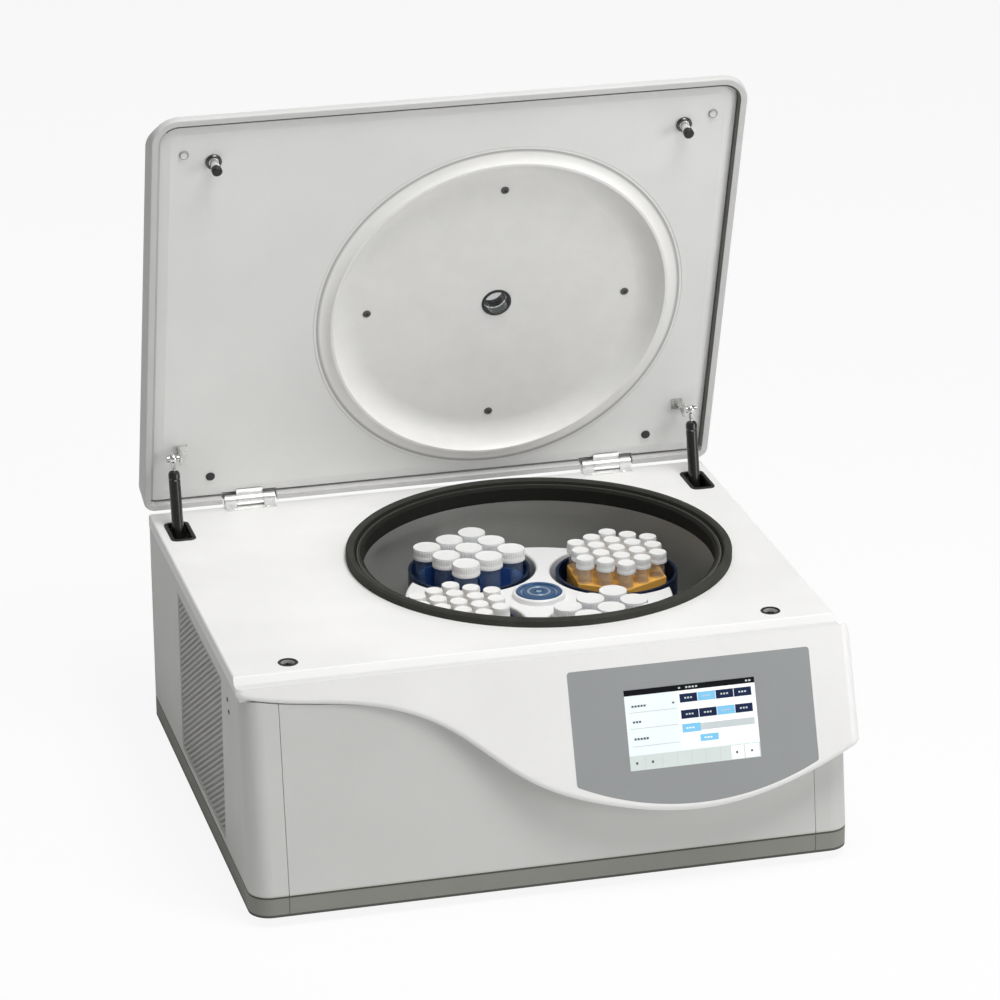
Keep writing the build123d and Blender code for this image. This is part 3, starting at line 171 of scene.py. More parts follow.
class Paint(Wiring):
    """One material, written as nodes on a Principled shader."""

    def __init__(self, name, roughness=0.5, metallic=0.0, specular=0.5, coat=0.0, ior=1.5, transmission=0.0):
        self.material = bpy.data.materials.new(name)
        self.material.use_nodes = True
        self.tree = self.material.node_tree
        self.shader = self.tree.nodes["Principled BSDF"]
        self.feed(
            Roughness=roughness,
            Metallic=metallic,
            Specular_IOR_Level=specular,
            Coat_Weight=coat,
            Coat_Roughness=0.12,
            Transmission_Weight=transmission,
            IOR=ior,
        )

    def place(self):
        return self.node("ShaderNodeTexCoord", output="Object")

    def along(self, axis):
        """The place along one axis of the object, in metres."""
        return self.node("ShaderNodeSeparateXYZ", None, {0: self.place()}, output=axis)

    def measure(self, axis):
        """The place along one axis of the object, in millimetres."""
        return self.along(axis) * per_metre

    def noise(self, scale, detail=3.0, rough=0.5, vector=None):
        values = {"Vector": vector or self.place(), "Scale": scale, "Detail": detail, "Roughness": rough}
        return self.node("ShaderNodeTexNoise", None, values)

    def ramp(self, signal, stops):
        return self.node("ShaderNodeValToRGB", {"stops": stops}, {"Fac": signal})

    def shades(self, signal, base, darkest, lightest, low=0.3, high=0.7):
        """The base colour, darker where the signal is low and lighter where it is high."""
        return self.ramp(signal, [(low, shade_of(base, darkest)), (high, shade_of(base, lightest))])

    def mix(self, factor, first, second):
        values = {"Factor": factor, 6: first, 7: second}
        return self.node("ShaderNodeMix", {"data_type": "RGBA"}, values, output=2)

    def feed(self, **links):
        for name, value in links.items():
            socket = self.shader.inputs[name.replace("_", " ")]
            if isinstance(value, Signal):
                self.tree.links.new(value.socket, socket)
            else:
                socket.default_value = value
        return self

    def bump(self, height, strength, distance):
        values = {"Height": height, "Strength": strength, "Distance": distance}
        return self.node("ShaderNodeBump", None, values)


def shade_of(base, factor):
    return (base[0] * factor, base[1] * factor, base[2] * factor, 1.0)


# noise scales: clouds in a plastic's tone, patches of gloss, dust on rubber, lines in metal, and grains
cloud_scale = 9.0
strip_cloud_scale = 20.0
backlight_scale = 30.0
gloss_scale = 40.0
dust_scale = 26.0
line_scale = 220.0
plastic_grain = 900.0
smooth_grain = 1400.0
film_grain = 1800.0
foam_grain = 300.0
rubber_grain = 700.0


def moulded(
    name,
    base,
    roughness,
    grain=plastic_grain,
    depth=0.04 * mm,
    mottle=0.03,
    coat=0.0,
    specular=0.5,
    alpha=1.0,
):
    """Moulded plastic or powder paint: faint cloudiness, fine grain and uneven gloss."""
    paint = Paint(name, roughness=roughness, coat=coat, specular=specular)
    tint = paint.shades(paint.noise(cloud_scale, 4.0), base, 1 - mottle, 1 + mottle / 2)
    skin = paint.noise(grain, 2.0)
    gloss = paint.noise(gloss_scale, 3.0) * 0.08 + (roughness - 0.04)
    paint.feed(Base_Color=tint, Roughness=gloss, Normal=paint.bump(skin, 0.25, depth), Alpha=alpha)
    return paint.material


def metal(name, base, roughness, across=(1.0, 1.0, 1.0), mottle=0.12, shine=1.0):
    """Bare metal with the fine lines that its finishing leaves; across stretches the lines."""
    paint = Paint(name, roughness=roughness, metallic=shine)
    stretched = paint.node("ShaderNodeMapping", None, {"Vector": paint.place(), "Scale": across})
    lines = paint.noise(line_scale, 5.0, 0.6, stretched)
    tint = paint.shades(lines, base, 1 - mottle, 1 + mottle / 2, 0.25, 0.75)
    gloss = lines * 0.16 + (roughness - 0.08)
    bumped = paint.bump(lines, 0.3, 0.02 * mm)
    return paint.feed(Base_Color=tint, Roughness=gloss, Normal=bumped).material


def rubber(name, base, roughness=0.62):
    """Dull rubber with a dusty bloom."""
    paint = Paint(name, roughness=roughness, specular=0.35)
    bloom = paint.noise(dust_scale, 5.0, 0.65)
    tint = paint.shades(bloom, base, 0.85, 1.25, 0.3, 0.75)
    bumped = paint.bump(paint.noise(rubber_grain, 3.0), 0.35, 0.08 * mm)
    return paint.feed(Base_Color=tint, Roughness=bloom * 0.16 + (roughness - 0.08), Normal=bumped).material


def banded(name, base, bands, seam, roughness):
    """Moulded plastic with level bands of painted light and shade, each low, high and its share of the base
    colour, and an upright seam on each side.
    """
    paint = Paint(name, roughness=roughness, specular=0.25)
    height = paint.measure("Z")
    across = paint.measure("X")
    offset = across.combine("ABSOLUTE", across) - seam
    cloud = paint.noise(cloud_scale, 4.0)
    tint = paint.shades(cloud, base, 0.96, 1.03)
    for low, high, dark in bands:
        tint = paint.mix((height > low) * (height < high), tint, shade_of(base, dark))
    tint = paint.mix((offset > -0.5) * (offset < 0.5), tint, shade_of(base, 0.4))
    skin = paint.bump(paint.noise(plastic_grain, 2.0), 0.25, 0.04 * mm)
    return paint.feed(Base_Color=tint, Roughness=cloud * 0.1 + (roughness - 0.05), Normal=skin).material


def ringed(name, base, centre, along, rings, roughness, specular, mottle):
    """Soft finish with rings of painted light and shade about a centre, in the plane of X and one other
    direction.

    Each ring has its inner and outer radius and its share of the base colour.
    """
    paint = Paint(name, roughness=roughness, specular=specular)
    across = paint.measure("X") - centre.x
    level = paint.along("Y") * (per_metre * along.y) + paint.along("Z") * (per_metre * along.z)
    level = level - centre.dot(along)
    squares = across * across + level * level
    radius = squares.combine("SQRT", squares)
    bloom = paint.noise(dust_scale, 5.0, 0.65)
    tint = paint.shades(bloom, base, 1 - mottle, 1 + mottle, 0.3, 0.75)
    for low, high, share in rings:
        tint = paint.mix((radius > low) * (radius < high), tint, shade_of(base, share))
    bumped = paint.bump(paint.noise(rubber_grain, 3.0), 0.35, 0.08 * mm)
    return paint.feed(Base_Color=tint, Normal=bumped).material


def sided(name, base, other, edge):
    """Soft strip of painted shade, in a second painted shade to the left of a place across the object, in
    metres.
    """
    paint = Paint(name, roughness=0.6, specular=0.3)
    cloud = paint.noise(strip_cloud_scale, 4.0)
    first = paint.shades(cloud, base, 0.9, 1.1)
    second = paint.shades(cloud, other, 0.95, 1.05)
    tint = paint.mix(paint.along("X") < edge, first, second)
    bumped = paint.bump(paint.noise(rubber_grain, 3.0), 0.3, 0.06 * mm)
    return paint.feed(Base_Color=tint, Normal=bumped).material


def lit(name, base, glow):
    """A patch of the lit display, with its faint backlight unevenness."""
    paint = Paint(name, roughness=0.35, specular=0.12)
    tint = paint.shades(paint.noise(backlight_scale, 2.0), base, 0.97, 1.0)
    return paint.feed(Base_Color=tint, Emission_Color=tint, Emission_Strength=glow).material


# ---------------------------------------------------------------- finishes of the casing and the lid
deck_shadow = [(deck_z - 80.0, deck_z - 0.8, 0.88)]  # painted shade on the deck's turned-down edge
past_the_deck = 900.0  # so that the deck has no seam
white_paint = banded("deck_white", (0.84, 0.835, 0.825), deck_shadow, past_the_deck, 0.42)
# painted light on the skirt: a painted shadow along its foot, painted shade in the groove under its top and a
# painted highlight along its top edge
skirt_painted_light = [
    (skirt_z, skirt_z + 3.0, 0.35),
    (skirt_top - 4.0, skirt_top - 1.7, 0.28),
    (skirt_top - 1.7, skirt_top + 0.1, 2.1),
]
front_seam = half_width - 42.0  # beside the front panel
skirt_plastic = banded("skirt_grey", (0.245, 0.245, 0.222), skirt_painted_light, front_seam, 0.55)
housing_white = moulded("housing_white", (0.79, 0.785, 0.775), 0.40, smooth_grain)
panel_paint = moulded("panel_grey", (0.56, 0.56, 0.545), 0.48)
grille_paint = moulded("grille_grey", (0.40, 0.40, 0.385), 0.5)
lid_plastic = moulded("lid_white", (0.62, 0.617, 0.61), 0.5, smooth_grain, specular=0.2)
liner_plastic = moulded("liner_grey", (0.80, 0.80, 0.785), 0.46)
dish_centre = lid_point(rotor_x, dish_v, 0)
lid_up = lid_point(0, 1, 0) - lid_point(0, 0, 0)
# painted shade in the groove round the dish's edge
dish_groove_shade = [(218.8, 220.2, 0.8), (220.2, 223.0, 0.55)]
dish_plastic = ringed("dish_grey", (0.84, 0.835, 0.815), dish_centre, lid_up, dish_groove_shade, 0.42, 0.5, 0.03)
shade_strip_side = -336.0 * mm  # left of here the strip is painted lighter, painted light where the groove catches more light
shade_strip_rubber = sided("shade_strip_rubber", (0.11, 0.11, 0.10), (0.44, 0.44, 0.43), shade_strip_side)
# painted light on the seal: painted shade down its inner wall and in its groove, and a painted highlight
# along its lip
seal_painted_light = [(200.0, 209.8, 0.3), (209.8, 212.4, 0.8), (212.4, 214.0, 2.6), (214.0, 217.0, 0.35)]
deck_back = Vector((0, 1, 0))
seal_rubber = ringed("seal_rubber", (0.045, 0.045, 0.039), chamber, deck_back, seal_painted_light, 0.7, 0.1, 0.2)
dark_rubber = rubber("dark_rubber", (0.02, 0.02, 0.02))
fascia_film = moulded("fascia_grey", (0.285, 0.295, 0.297), 0.42, film_grain)
black_plastic = moulded("black_plastic", (0.012, 0.012, 0.012), 0.4)
mark_dark = moulded("mark_dark", (0.02, 0.02, 0.02), 0.45)
rest_white = moulded("rest_white", (0.74, 0.74, 0.73), 0.4)
rest_grey = moulded("rest_grey", (0.34, 0.34, 0.33), 0.42)

# ---------------------------------------------------------------- finishes of metal parts
down_the_bowl = (1.0, 1.0, 12.0)  # lines that run round the wall
bowl_steel = metal("bowl_steel", (0.64, 0.64, 0.61), 0.5, down_the_bowl, shine=0.5)
steel = metal("bright_steel", (0.66, 0.66, 0.65), 0.26)
satin_steel = metal("satin_steel", (0.88, 0.88, 0.87), 0.3, mottle=0.05, shine=0.7)
chrome = metal("chrome", (0.80, 0.80, 0.80), 0.1, mottle=0.05)
dark_chrome = metal("dark_chrome", (0.10, 0.10, 0.10), 0.22, mottle=0.05)
zinc = metal("zinc_plate", (0.50, 0.50, 0.47), 0.4)
screw_steel = metal("screw_steel", (0.13, 0.13, 0.125), 0.4, shine=0.5)
fin_metal = metal("fin_aluminium", (0.42, 0.42, 0.42), 0.4)
rotor_silver = metal("rotor_silver", (0.88, 0.88, 0.88), 0.42, mottle=0.02, shine=0.05)
navy_anodised = metal("navy_anodised", (0.010, 0.024, 0.066), 0.3, shine=0.4)
knob_blue = metal("knob_blue", (0.055, 0.14, 0.30), 0.3, shine=0.6)
knob_light = metal("knob_light", (0.42, 0.52, 0.62), 0.3, shine=0.6)
armour_paint = moulded("armour_grey", (0.10, 0.105, 0.12), 0.55)
motor_paint = moulded("motor_black", (0.02, 0.02, 0.022), 0.5)
strut_paint = moulded("strut_black", (0.010, 0.010, 0.009), 0.28, coat=0.3)

# ---------------------------------------------------------------- finishes of the loads and the foam
foam = moulded("foam_cream", (0.62, 0.56, 0.38), 0.85, foam_grain, depth=0.6 * mm, mottle=0.15)
navy_plastic = moulded("navy_plastic", (0.022, 0.075, 0.26), 0.3)
orange_plastic = moulded("orange_plastic", (1.0, 0.54, 0.11), 0.3, mottle=0.12)
cap_plastic = moulded("cap_white", (0.85, 0.85, 0.84), 0.38)
clear_plastic = moulded("clear_plastic", (0.42, 0.56, 0.80), 0.1, mottle=0.02, specular=0.6, alpha=0.24)
frosted_plastic = moulded("frosted_plastic", (0.80, 0.76, 0.70), 0.2, mottle=0.02, alpha=0.3)
glass = Paint("window_glass", roughness=0.05, ior=1.45, transmission=1.0)
glass.feed(Base_Color=(0.95, 0.97, 0.97, 1))


def dress(material, *names):
    for name in names:
        held = nodes[name].data.materials
        held.clear()
        held.append(material)


dress(white_paint, "top_deck")
dress(satin_steel, "hinge_brackets", "lid_knuckles")
dress(housing_white, "control_housing")
dress(panel_paint, "front_panel", "side_panel_left", "side_panel_right", "rear_panel")
dress(skirt_plastic, "skirt")
dress(lid_plastic, "lid_shell")
dress(liner_plastic, "lid_liner")
dress(dish_plastic, "lid_dish")
dress(fascia_film, "fascia_panel")
dress(black_plastic, "fan_shroud", "fan_rotor", "mains_inlet", "mains_switch", "touchscreen")
dress(dark_chrome, "window_ring")
dress(seal_rubber, "chamber_seal")
dress(dark_rubber, "feet", "motor_mounts", "strut_grommets", "lid_bumpers")
dress(bowl_steel, "chamber_bowl")
dress(steel, "drive_shaft", "lid_locks", "strut_brackets", "hinge_pins", "dish_screws")
dress(chrome, "latch_bolts", "strut_rod_left", "strut_rod_right")
dress(zinc, "strut_anchors", "base_tray", "side_grille", "rear_grille")
dress(rotor_silver, "rotor_cross")
dress(knob_blue, "rotor_knob")
dress(foam, "chamber_insulation", "lid_core")
dress(armour_paint, "armour_ring")
dress(motor_paint, "motor_housing", "compressor")
dress(strut_paint, "strut_tube_left", "strut_tube_right")
dress(fin_metal, "condenser")
quarters = ("rear_left", "front_left", "front_right", "rear_right")
for place, quarter in enumerate(quarters):
    dress(navy_anodised, "bucket_" + quarter)
    dress(navy_plastic if place % 2 == 0 else orange_plastic, "adapter_" + quarter)
    dress(cap_plastic, "tubes_" + quarter)
dress(glass.material, "lid_window")


# ---------------------------------------------------------------- shapes in mesh code
sharp_angle = radians(32)
tube_sharp_angle = radians(40)
wide_steps = 64  # sides of a turned form: the racks and the knob,
pin_steps = 36  # pins, struts and latch holes,
rest_steps = 28  # the lid's rests,
tube_steps = 24  # tubes and the dish's screws,
screw_steps = 16  # and small screws


class Shape:
    """Corners and faces of one piece, each face with the number of its finish."""

    def __init__(self):
        self.mesh = bmesh.new()

    def corners(self, spots):
        """New corners at places in millimetres."""
        return [self.mesh.verts.new(spot * mm) for spot in spots]

    def face(self, corners, skin=0):
        made = self.mesh.faces.new(corners)
        made.material_index = skin
        made.smooth = True

    def band(self, first, second, skin=0):
        """Faces all round between two closed rows of corners."""
        count = len(first)
        for step in range(count):
            following = (step + 1) % count
            self.face([first[step], first[following], second[following], second[step]], skin)
        return self

    def turned(self, profile, centre, axis, steps, ring=False):
        """A turned form; each point of the profile has a radius, a height and the finish up to it."""
        axis = Vector(axis).normalized()
        side = axis.orthogonal().normalized()
        other = axis.cross(side)
        turns = [2 * pi * step / steps for step in range(steps)]
        rings = []
        for radius, height, _ in profile:
            middle = Vector(centre) + axis * height
            if radius == 0:
                rings.append(self.corners([middle]) * steps)
            else:
                rings.append(
                    self.corners(middle + (side * cos(turn) + other * sin(turn)) * radius for turn in turns)
                )
        pairs = list(zip(rings, rings[1:], profile[1:]))
        if ring:
            pairs.append((rings[-1], rings[0], profile[0]))
        for low, high, (_, _, skin) in pairs:
            for step in range(steps):
                following = (step + 1) % steps
                corners = [low[step], low[following], high[following], high[step]]
                corners = [spot for at, spot in enumerate(corners) if spot not in corners[:at]]
                if len(corners) > 2:
                    self.face(corners, skin)
        return self

    def layer(self, outline, origin, axes, height):
        """A flat outline's corners, at a height along the third axis."""
        return self.corners(origin + axes[0] * x + axes[1] * y + axes[2] * height for x, y in outline)

    def prism(self, outline, origin, axes, low, high, skin=0):
        """A flat form between two heights along the third axis."""
        under = self.layer(outline, origin, axes, low)
        over = self.layer(outline, origin, axes, high)
        self.face(under[::-1], skin)
        self.face(over, skin)
        return self.band(under, over, skin)

    def border(self, outer, inner, origin, axes, low, high):
        """A flat frame between two outlines with as many corners."""
        outer_low, outer_high = (self.layer(outer, origin, axes, height) for height in (low, high))
        inner_low, inner_high = (self.layer(inner, origin, axes, height) for height in (low, high))
        loop = [outer_low, outer_high, inner_high, inner_low, outer_low]
        for first, second in zip(loop, loop[1:]):
            self.band(first, second)
        return self

    def settle(self, name, closed=True):
        """The finished plain mesh."""
        if closed:
            bmesh.ops.recalc_face_normals(self.mesh, faces=self.mesh.faces)
        mesh = bpy.data.meshes.new(name)
        self.mesh.to_mesh(mesh)
        self.mesh.free()
        mesh.set_sharp_from_angle(angle=sharp_angle)
        return mesh


def oblong(width, height, corner, steps=5):
    """Outline of a rectangle with rounded corners, about its middle."""
    outline = []
    for quarter, (x, y) in enumerate(((1, 1), (-1, 1), (-1, -1), (1, -1))):
        for step in range(steps + 1):
            turn = pi / 2 * (quarter + step / steps)
            across = x * (width / 2 - corner) + corner * cos(turn)
            upward = y * (height / 2 - corner) + corner * sin(turn)
            outline.append((across, upward))
    return outline


def piece(name, mesh, skins, body, finish, *gone):
    """Puts a mesh in the scene as a piece of one body, standing for the nodes that are gone."""
    for skin in skins:
        mesh.materials.append(skin)
    made = bpy.data.objects.new(name, mesh)
    bpy.context.scene.collection.objects.link(made)
    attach(made, body)
    if gone:
        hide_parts(*gone)
    return made


# ---------------------------------------------------------------- trees for what repeats
class Growth(Wiring):
    """A Geometry Nodes tree with named inputs."""

    def __init__(self, name, **inputs):
        self.tree = bpy.data.node_groups.new(name, "GeometryNodeTree")
        sockets = self.tree.interface
        sockets.new_socket("Geometry", in_out="INPUT", socket_type="NodeSocketGeometry")
        for label, kind in inputs.items():
            sockets.new_socket(label, in_out="INPUT", socket_type="NodeSocket" + kind)
        sockets.new_socket("Geometry", in_out="OUTPUT", socket_type="NodeSocketGeometry")
        self.source = self.tree.nodes.new("NodeGroupInput")
        self.result = self.tree.nodes.new("NodeGroupOutput")

    def given(self, label):
        return Signal(self, self.source.outputs[label])

    def end(self, instances):
        """Realises the copies and gives them their finish."""
        solid = self.node("GeometryNodeRealizeInstances", None, {"Geometry": instances})
        dressed = self.node(
            "GeometryNodeSetMaterial", None, {"Geometry": solid, "Material": self.given("Finish")}
        )
        self.tree.links.new(dressed.socket, self.result.inputs["Geometry"])
        return self

    def grow(self, base, **settings):
        """The plain mesh that the tree makes from a base mesh."""
        holder = bpy.data.objects.new("holder", base)
        bpy.context.scene.collection.objects.link(holder)
        modifier = holder.modifiers.new("growth", "NODES")
        modifier.node_group = self.tree
        for item in self.tree.interface.items_tree:
            if item.in_out == "INPUT" and item.name in settings:
                modifier[item.identifier] = settings[item.name]
        seen = holder.evaluated_get(bpy.context.evaluated_depsgraph_get())
        mesh = bpy.data.meshes.new_from_object(seen)
        holder.modifiers.remove(modifier)
        bpy.data.objects.remove(holder)
        return mesh


def spread_growth():
    """Copies of one item on points, each turned along the point's own direction."""
    growth = Growth("spread", Item="Object", Finish="Material")
    item = growth.node("GeometryNodeObjectInfo", None, {"Object": growth.given("Item")}, output="Geometry")
    facing = growth.node("GeometryNodeInputNamedAttribute", {"data_type": "FLOAT_VECTOR"}, {"Name": "facing"})
    turn = growth.node("FunctionNodeAlignRotationToVector", {"axis": "Z"}, {"Vector": facing})
    copies = growth.node(
        "GeometryNodeInstanceOnPoints",
        None,
        {"Points": growth.given("Geometry"), "Instance": item, "Rotation": turn},
    )
    return growth.end(copies)


def cap_growth():
    """Ribbed screw caps on points: grip ribs above a plain rim, and a shallow dish on top."""
    growth = Growth(
        "screw_caps", Radius="Float", Height="Float", Ribs="Int", Relief="Float", Finish="Material"
    )
    radius = growth.given("Radius")
    height = growth.given("Height")
    ribs = growth.given("Ribs")
    relief = growth.given("Relief")
    drum = growth.node(
        "GeometryNodeMeshCylinder",
        None,
        {"Vertices": ribs * 2, "Side Segments": 5, "Fill Segments": 3, "Radius": radius, "Depth": height},
        output="Mesh",
    )
    spot = growth.node("GeometryNodeInputPosition")
    level = growth.node("ShaderNodeSeparateXYZ", None, {0: spot}, output="Z")
    flat = growth.node("ShaderNodeVectorMath", {"operation": "MULTIPLY"}, {0: spot, 1: (1, 1, 0)})
    reach = growth.node("ShaderNodeVectorMath", {"operation": "LENGTH"}, {0: flat}, output="Value")
    outward = growth.node("ShaderNodeVectorMath", {"operation": "NORMALIZE"}, {0: flat})
    odd = growth.node("GeometryNodeInputIndex") % 2
    wall_from, dish_to = 0.9, 0.75  # shares of the radius
    grip_from, top_from = -0.25, 0.45  # shares of the height, from the cap's middle
    dish_depth = 1.4  # reliefs
    on_wall = reach > radius * wall_from
    on_grip = on_wall * (level > height * grip_from)
    at_top = level > height * top_from
    inward = on_grip * (odd * relief + relief) + on_wall * at_top * relief
    sink = at_top * (reach < radius * dish_to) * relief * dish_depth
    pushed = growth.node("ShaderNodeVectorMath", {"operation": "SCALE"}, {0: outward, "Scale": inward * -1.0})
    sunk = growth.node("ShaderNodeCombineXYZ", None, {"Z": sink * -1.0})
    shift = growth.node("ShaderNodeVectorMath", {"operation": "ADD"}, {0: pushed, 1: sunk})
    cap = growth.node("GeometryNodeSetPosition", None, {"Geometry": drum, "Offset": shift})
    flat_faced = growth.node("GeometryNodeSetShadeSmooth", None, {"Geometry": cap, "Shade Smooth": False})
    copies = growth.node(
        "GeometryNodeInstanceOnPoints", None, {"Points": growth.given("Geometry"), "Instance": flat_faced}
    )
    return growth.end(copies)


def mesh_growth():
    """A sheet of one pierced tile, every other column half a step higher."""
    growth = Growth(
        "pierced_sheet", Columns="Int", Rows="Int", Across="Float", Upward="Float", Finish="Material"
    )
    columns = growth.given("Columns")
    rows = growth.given("Rows")
    across = growth.given("Across")
    upward = growth.given("Upward")
    width = (columns - 1) * across
    sizes = {"Size X": width, "Size Y": (rows - 1) * upward, "Vertices X": columns, "Vertices Y": rows}
    grid = growth.node("GeometryNodeMeshGrid", None, sizes, output="Mesh")
    spot = growth.node("GeometryNodeInputPosition")
    along = growth.node("ShaderNodeSeparateXYZ", None, {0: spot}, output="X")
    column = (along + width * 0.5) / across
    odd = column.combine("ROUND", column) % 2
    lift = growth.node("ShaderNodeCombineXYZ", None, {"Y": (odd - 0.5) * upward * 0.5})
    staggered = growth.node("GeometryNodeSetPosition", None, {"Geometry": grid, "Offset": lift})
    copies = growth.node(
        "GeometryNodeInstanceOnPoints", None, {"Points": staggered, "Instance": growth.given("Geometry")}
    )
    return growth.end(copies)


spread = spread_growth()
caps = cap_growth()
pierced = mesh_growth()


def points(spots, facing=upright):
    """Bare points in metres that say which way an item on them looks."""
    mesh = bpy.data.meshes.new("points")
    mesh.from_pydata([spot * mm for spot in spots], [], [])
    ways = mesh.attributes.new("facing", "FLOAT_VECTOR", "POINT")
    for way in ways.data:
        way.vector = facing
    return mesh


def scatter(profile, spots, facing, finish, steps):
    """One turned item, its height along its direction, set on every spot."""
    turned = Shape().turned(profile, (0, 0, 0), upright, steps)
    item = bpy.data.objects.new("item", turned.settle("item"))
    bpy.context.scene.collection.objects.link(item)
    mesh = spread.grow(points(spots, facing), Item=item, Finish=finish)
    bpy.data.objects.remove(item)
    return mesh


# ---------------------------------------------------------------- loads of the buckets
def hexagon(reach):
    """A rack's outline for small tubes, with a corner outwards."""
    return [(reach * cos(pi * corner / 3), reach * sin(pi * corner / 3)) for corner in range(6)]


def scalloped(rows, tube_radius, reach, steps=240):
    """A rack's outline about its middle, cut back by the tubes that stand at its edge."""
    edge_from = tube_radius * 2.2  # a tube nearer the middle stands inside the rack
    outline = []
    for step in range(steps):
        turn = 2 * pi * step / steps
        radius = reach
        for x, y in rows:
            away = sqrt(x * x + y * y)
            if away < edge_from:
                continue
            swing = (turn - atan2(y, x) + pi) % (2 * pi) - pi
            if abs(swing) < asin(tube_radius / away):
                near = away * cos(swing) - sqrt(tube_radius**2 - (away * sin(swing)) ** 2)
                radius = min(radius, near)
        outline.append((radius * cos(turn), radius * sin(turn)))
    return outline


def tube_profile(radius, tip_radius, cone_height, length):
    """A closed tube with a cone at its foot."""
    return [(0, 0, 0), (tip_radius, 0, 0), (radius, cone_height, 0), (radius, length, 0), (0, length, 0)]


# large tubes in a square, small ones in a hexagon; heights are from the bucket's pins
large_pitch = 35.6
small_pitch = 25.5
square_rows = [(large_pitch * i, large_pitch * j) for i in (-1, 0, 1) for j in (-1, 0, 1)]
hexagon_rows = [
    (small_pitch * (step - (4 - abs(row)) / 2), row * small_pitch * sqrt(3) / 2)
    for row in range(-2, 3)
    for step in range(5 - abs(row))
]
tube_foot = -70.5
large_load = {
    "rows": square_rows,
    "tube": tube_profile(radius=14.5, tip_radius=2.2, cone_height=15, length=97.2),
    "tube_finish": clear_plastic,
    "cap_middle": 33.5,
    "cap": {"Radius": 17.0 * mm, "Height": 13.0 * mm, "Ribs": 36},
    "floor": -4.0,
    "rack": scalloped(square_rows, tube_radius=14.9, reach=54.0),
    "rack_top": 20.5,
    "rack_skins": [navy_plastic, navy_plastic],
    "rack_slot": "adapter_navy",
}
small_load = {
    "rows": hexagon_rows,
    "tube": tube_profile(radius=8.3, tip_radius=1.3, cone_height=18, length=102.2),
    "tube_finish": frosted_plastic,
    "cap_middle": 38.0,
    "cap": {"Radius": 11.0 * mm, "Height": 12.0 * mm, "Ribs": 26},
    "floor": -10.0,
    "rack": hexagon(reach=62.0),
    "rack_top": 13.0,
    "rack_skins": [navy_anodised, orange_plastic],
    "rack_slot": "adapter_orange",
}
rack_base = -42.0
rack_base_radius = 66.0
rack_disc_base = -30.0
rack_disc_radius = 69.0
rack_seat = 1.0  # how deep the rack stands in its disc
rib_relief = 0.4 * mm


def bucket_frame(place):
    """The middle of one bucket at its pins, and its directions: outwards, sideways and up."""
    turn = radians(rotor_angle + 45 + 90 * place)
    outwards = Vector((cos(turn), sin(turn), 0))
    sideways = Vector((-sin(turn), cos(turn), 0))
    middle = chamber + outwards * swing_radius + Vector((0, 0, pin_z))
    return middle, (outwards, sideways, Vector(upright))


def tube_spots(place, rows, height):
    """Where the tubes of one bucket stand, at a height from the pins."""
    middle, axes = bucket_frame(place)
    level = middle + axes[2] * height
    return [level + axes[0] * x + axes[1] * y for x, y in rows]


def tubes(place, quarter, load):
    """The tubes of one bucket and their caps."""
    bucket = "bucket_set_" + quarter
    spots = tube_spots(place, load["rows"], tube_foot)
    walls = scatter(load["tube"], spots, upright, load["tube_finish"], tube_steps)
    walls.set_sharp_from_angle(angle=tube_sharp_angle)
    piece("tubes_clear_" + quarter, walls, [], bucket, "tube_clear", "tubes_" + quarter)
    spots = tube_spots(place, load["rows"], load["cap_middle"])
    lids = caps.grow(points(spots), Relief=rib_relief, Finish=cap_plastic, **load["cap"])
    piece("tube_caps_" + quarter, lids, [], bucket, "tube_clear", "tubes_" + quarter)


def tube_rack(place, quarter, load):
    """The rack of one bucket: a disc in the bucket, and the raised block that holds the tubes."""
    middle, axes = bucket_frame(place)
    disc_profile = [
        (0, rack_base, 0),
        (rack_base_radius, rack_base, 0),
        (rack_disc_radius, rack_disc_base, 0),
        (rack_disc_radius, load["floor"], 0),
        (0, load["floor"], 0),
    ]
    rack = Shape().turned(disc_profile, middle, upright, wide_steps)
    rack.prism(load["rack"], middle, axes, load["floor"] - rack_seat, load["rack_top"], 1)
    name = "tube_rack_" + quarter
    skins = load["rack_skins"]
    piece(name, rack.settle(name), skins, "bucket_set_" + quarter, load["rack_slot"], "adapter_" + quarter)


for fill in (tubes, tube_rack):
    for place, quarter in enumerate(quarters):
        fill(place, quarter, large_load if place % 2 == 0 else small_load)


# ---------------------------------------------------------------- rotor knob
knob_foot = 213.0
collar_foot = 217.0
knob_profile = [
    (0, 10.6, 0), (3.4, 10.6, 1), (4.2, 9.6, 0), (5.2, 9.6, 0), (6.0, 10.8, 0), (11.2, 10.8, 0),
    (11.8, 10.0, 1), (13.4, 10.0, 1), (14.0, 10.8, 1), (19.6, 10.8, 0), (20.2, 9.8, 0), (21.6, 9.8, 1),
    (22.2, 11.4, 0), (24.6, 12.0, 0), (26.2, 11.6, 0), (27.0, 10.4, 0), (27.0, 0, 0), (0, 0, 0),
]
knob = Shape().turned(knob_profile, chamber + Vector((0, 0, knob_foot)), upright, wide_steps)
piece("knob_turned", knob.settle("knob_turned"), [knob_blue, knob_light], "knob", "rotor_navy", "rotor_knob")

collar_profile = [(27.6, 0, 0), (27.6, 6.2, 0), (28.2, 6.8, 0), (29.8, 6.6, 0), (31.0, 5.2, 0), (31.4, 0, 0)]
collar_middle = chamber + Vector((0, 0, collar_foot))
collar = Shape().turned(collar_profile, collar_middle, upright, wide_steps, ring=True)
piece("hub_collar", collar.settle("hub_collar"), [rotor_silver], "rotor", "rotor_navy")


# ---------------------------------------------------------------- pierced sheets of the cooling openings
hole_across = 6.4
hole_upward = 7.4
hole_radius = 2.35
sheet_wall = 1.2
sheet_set_back = 0.6


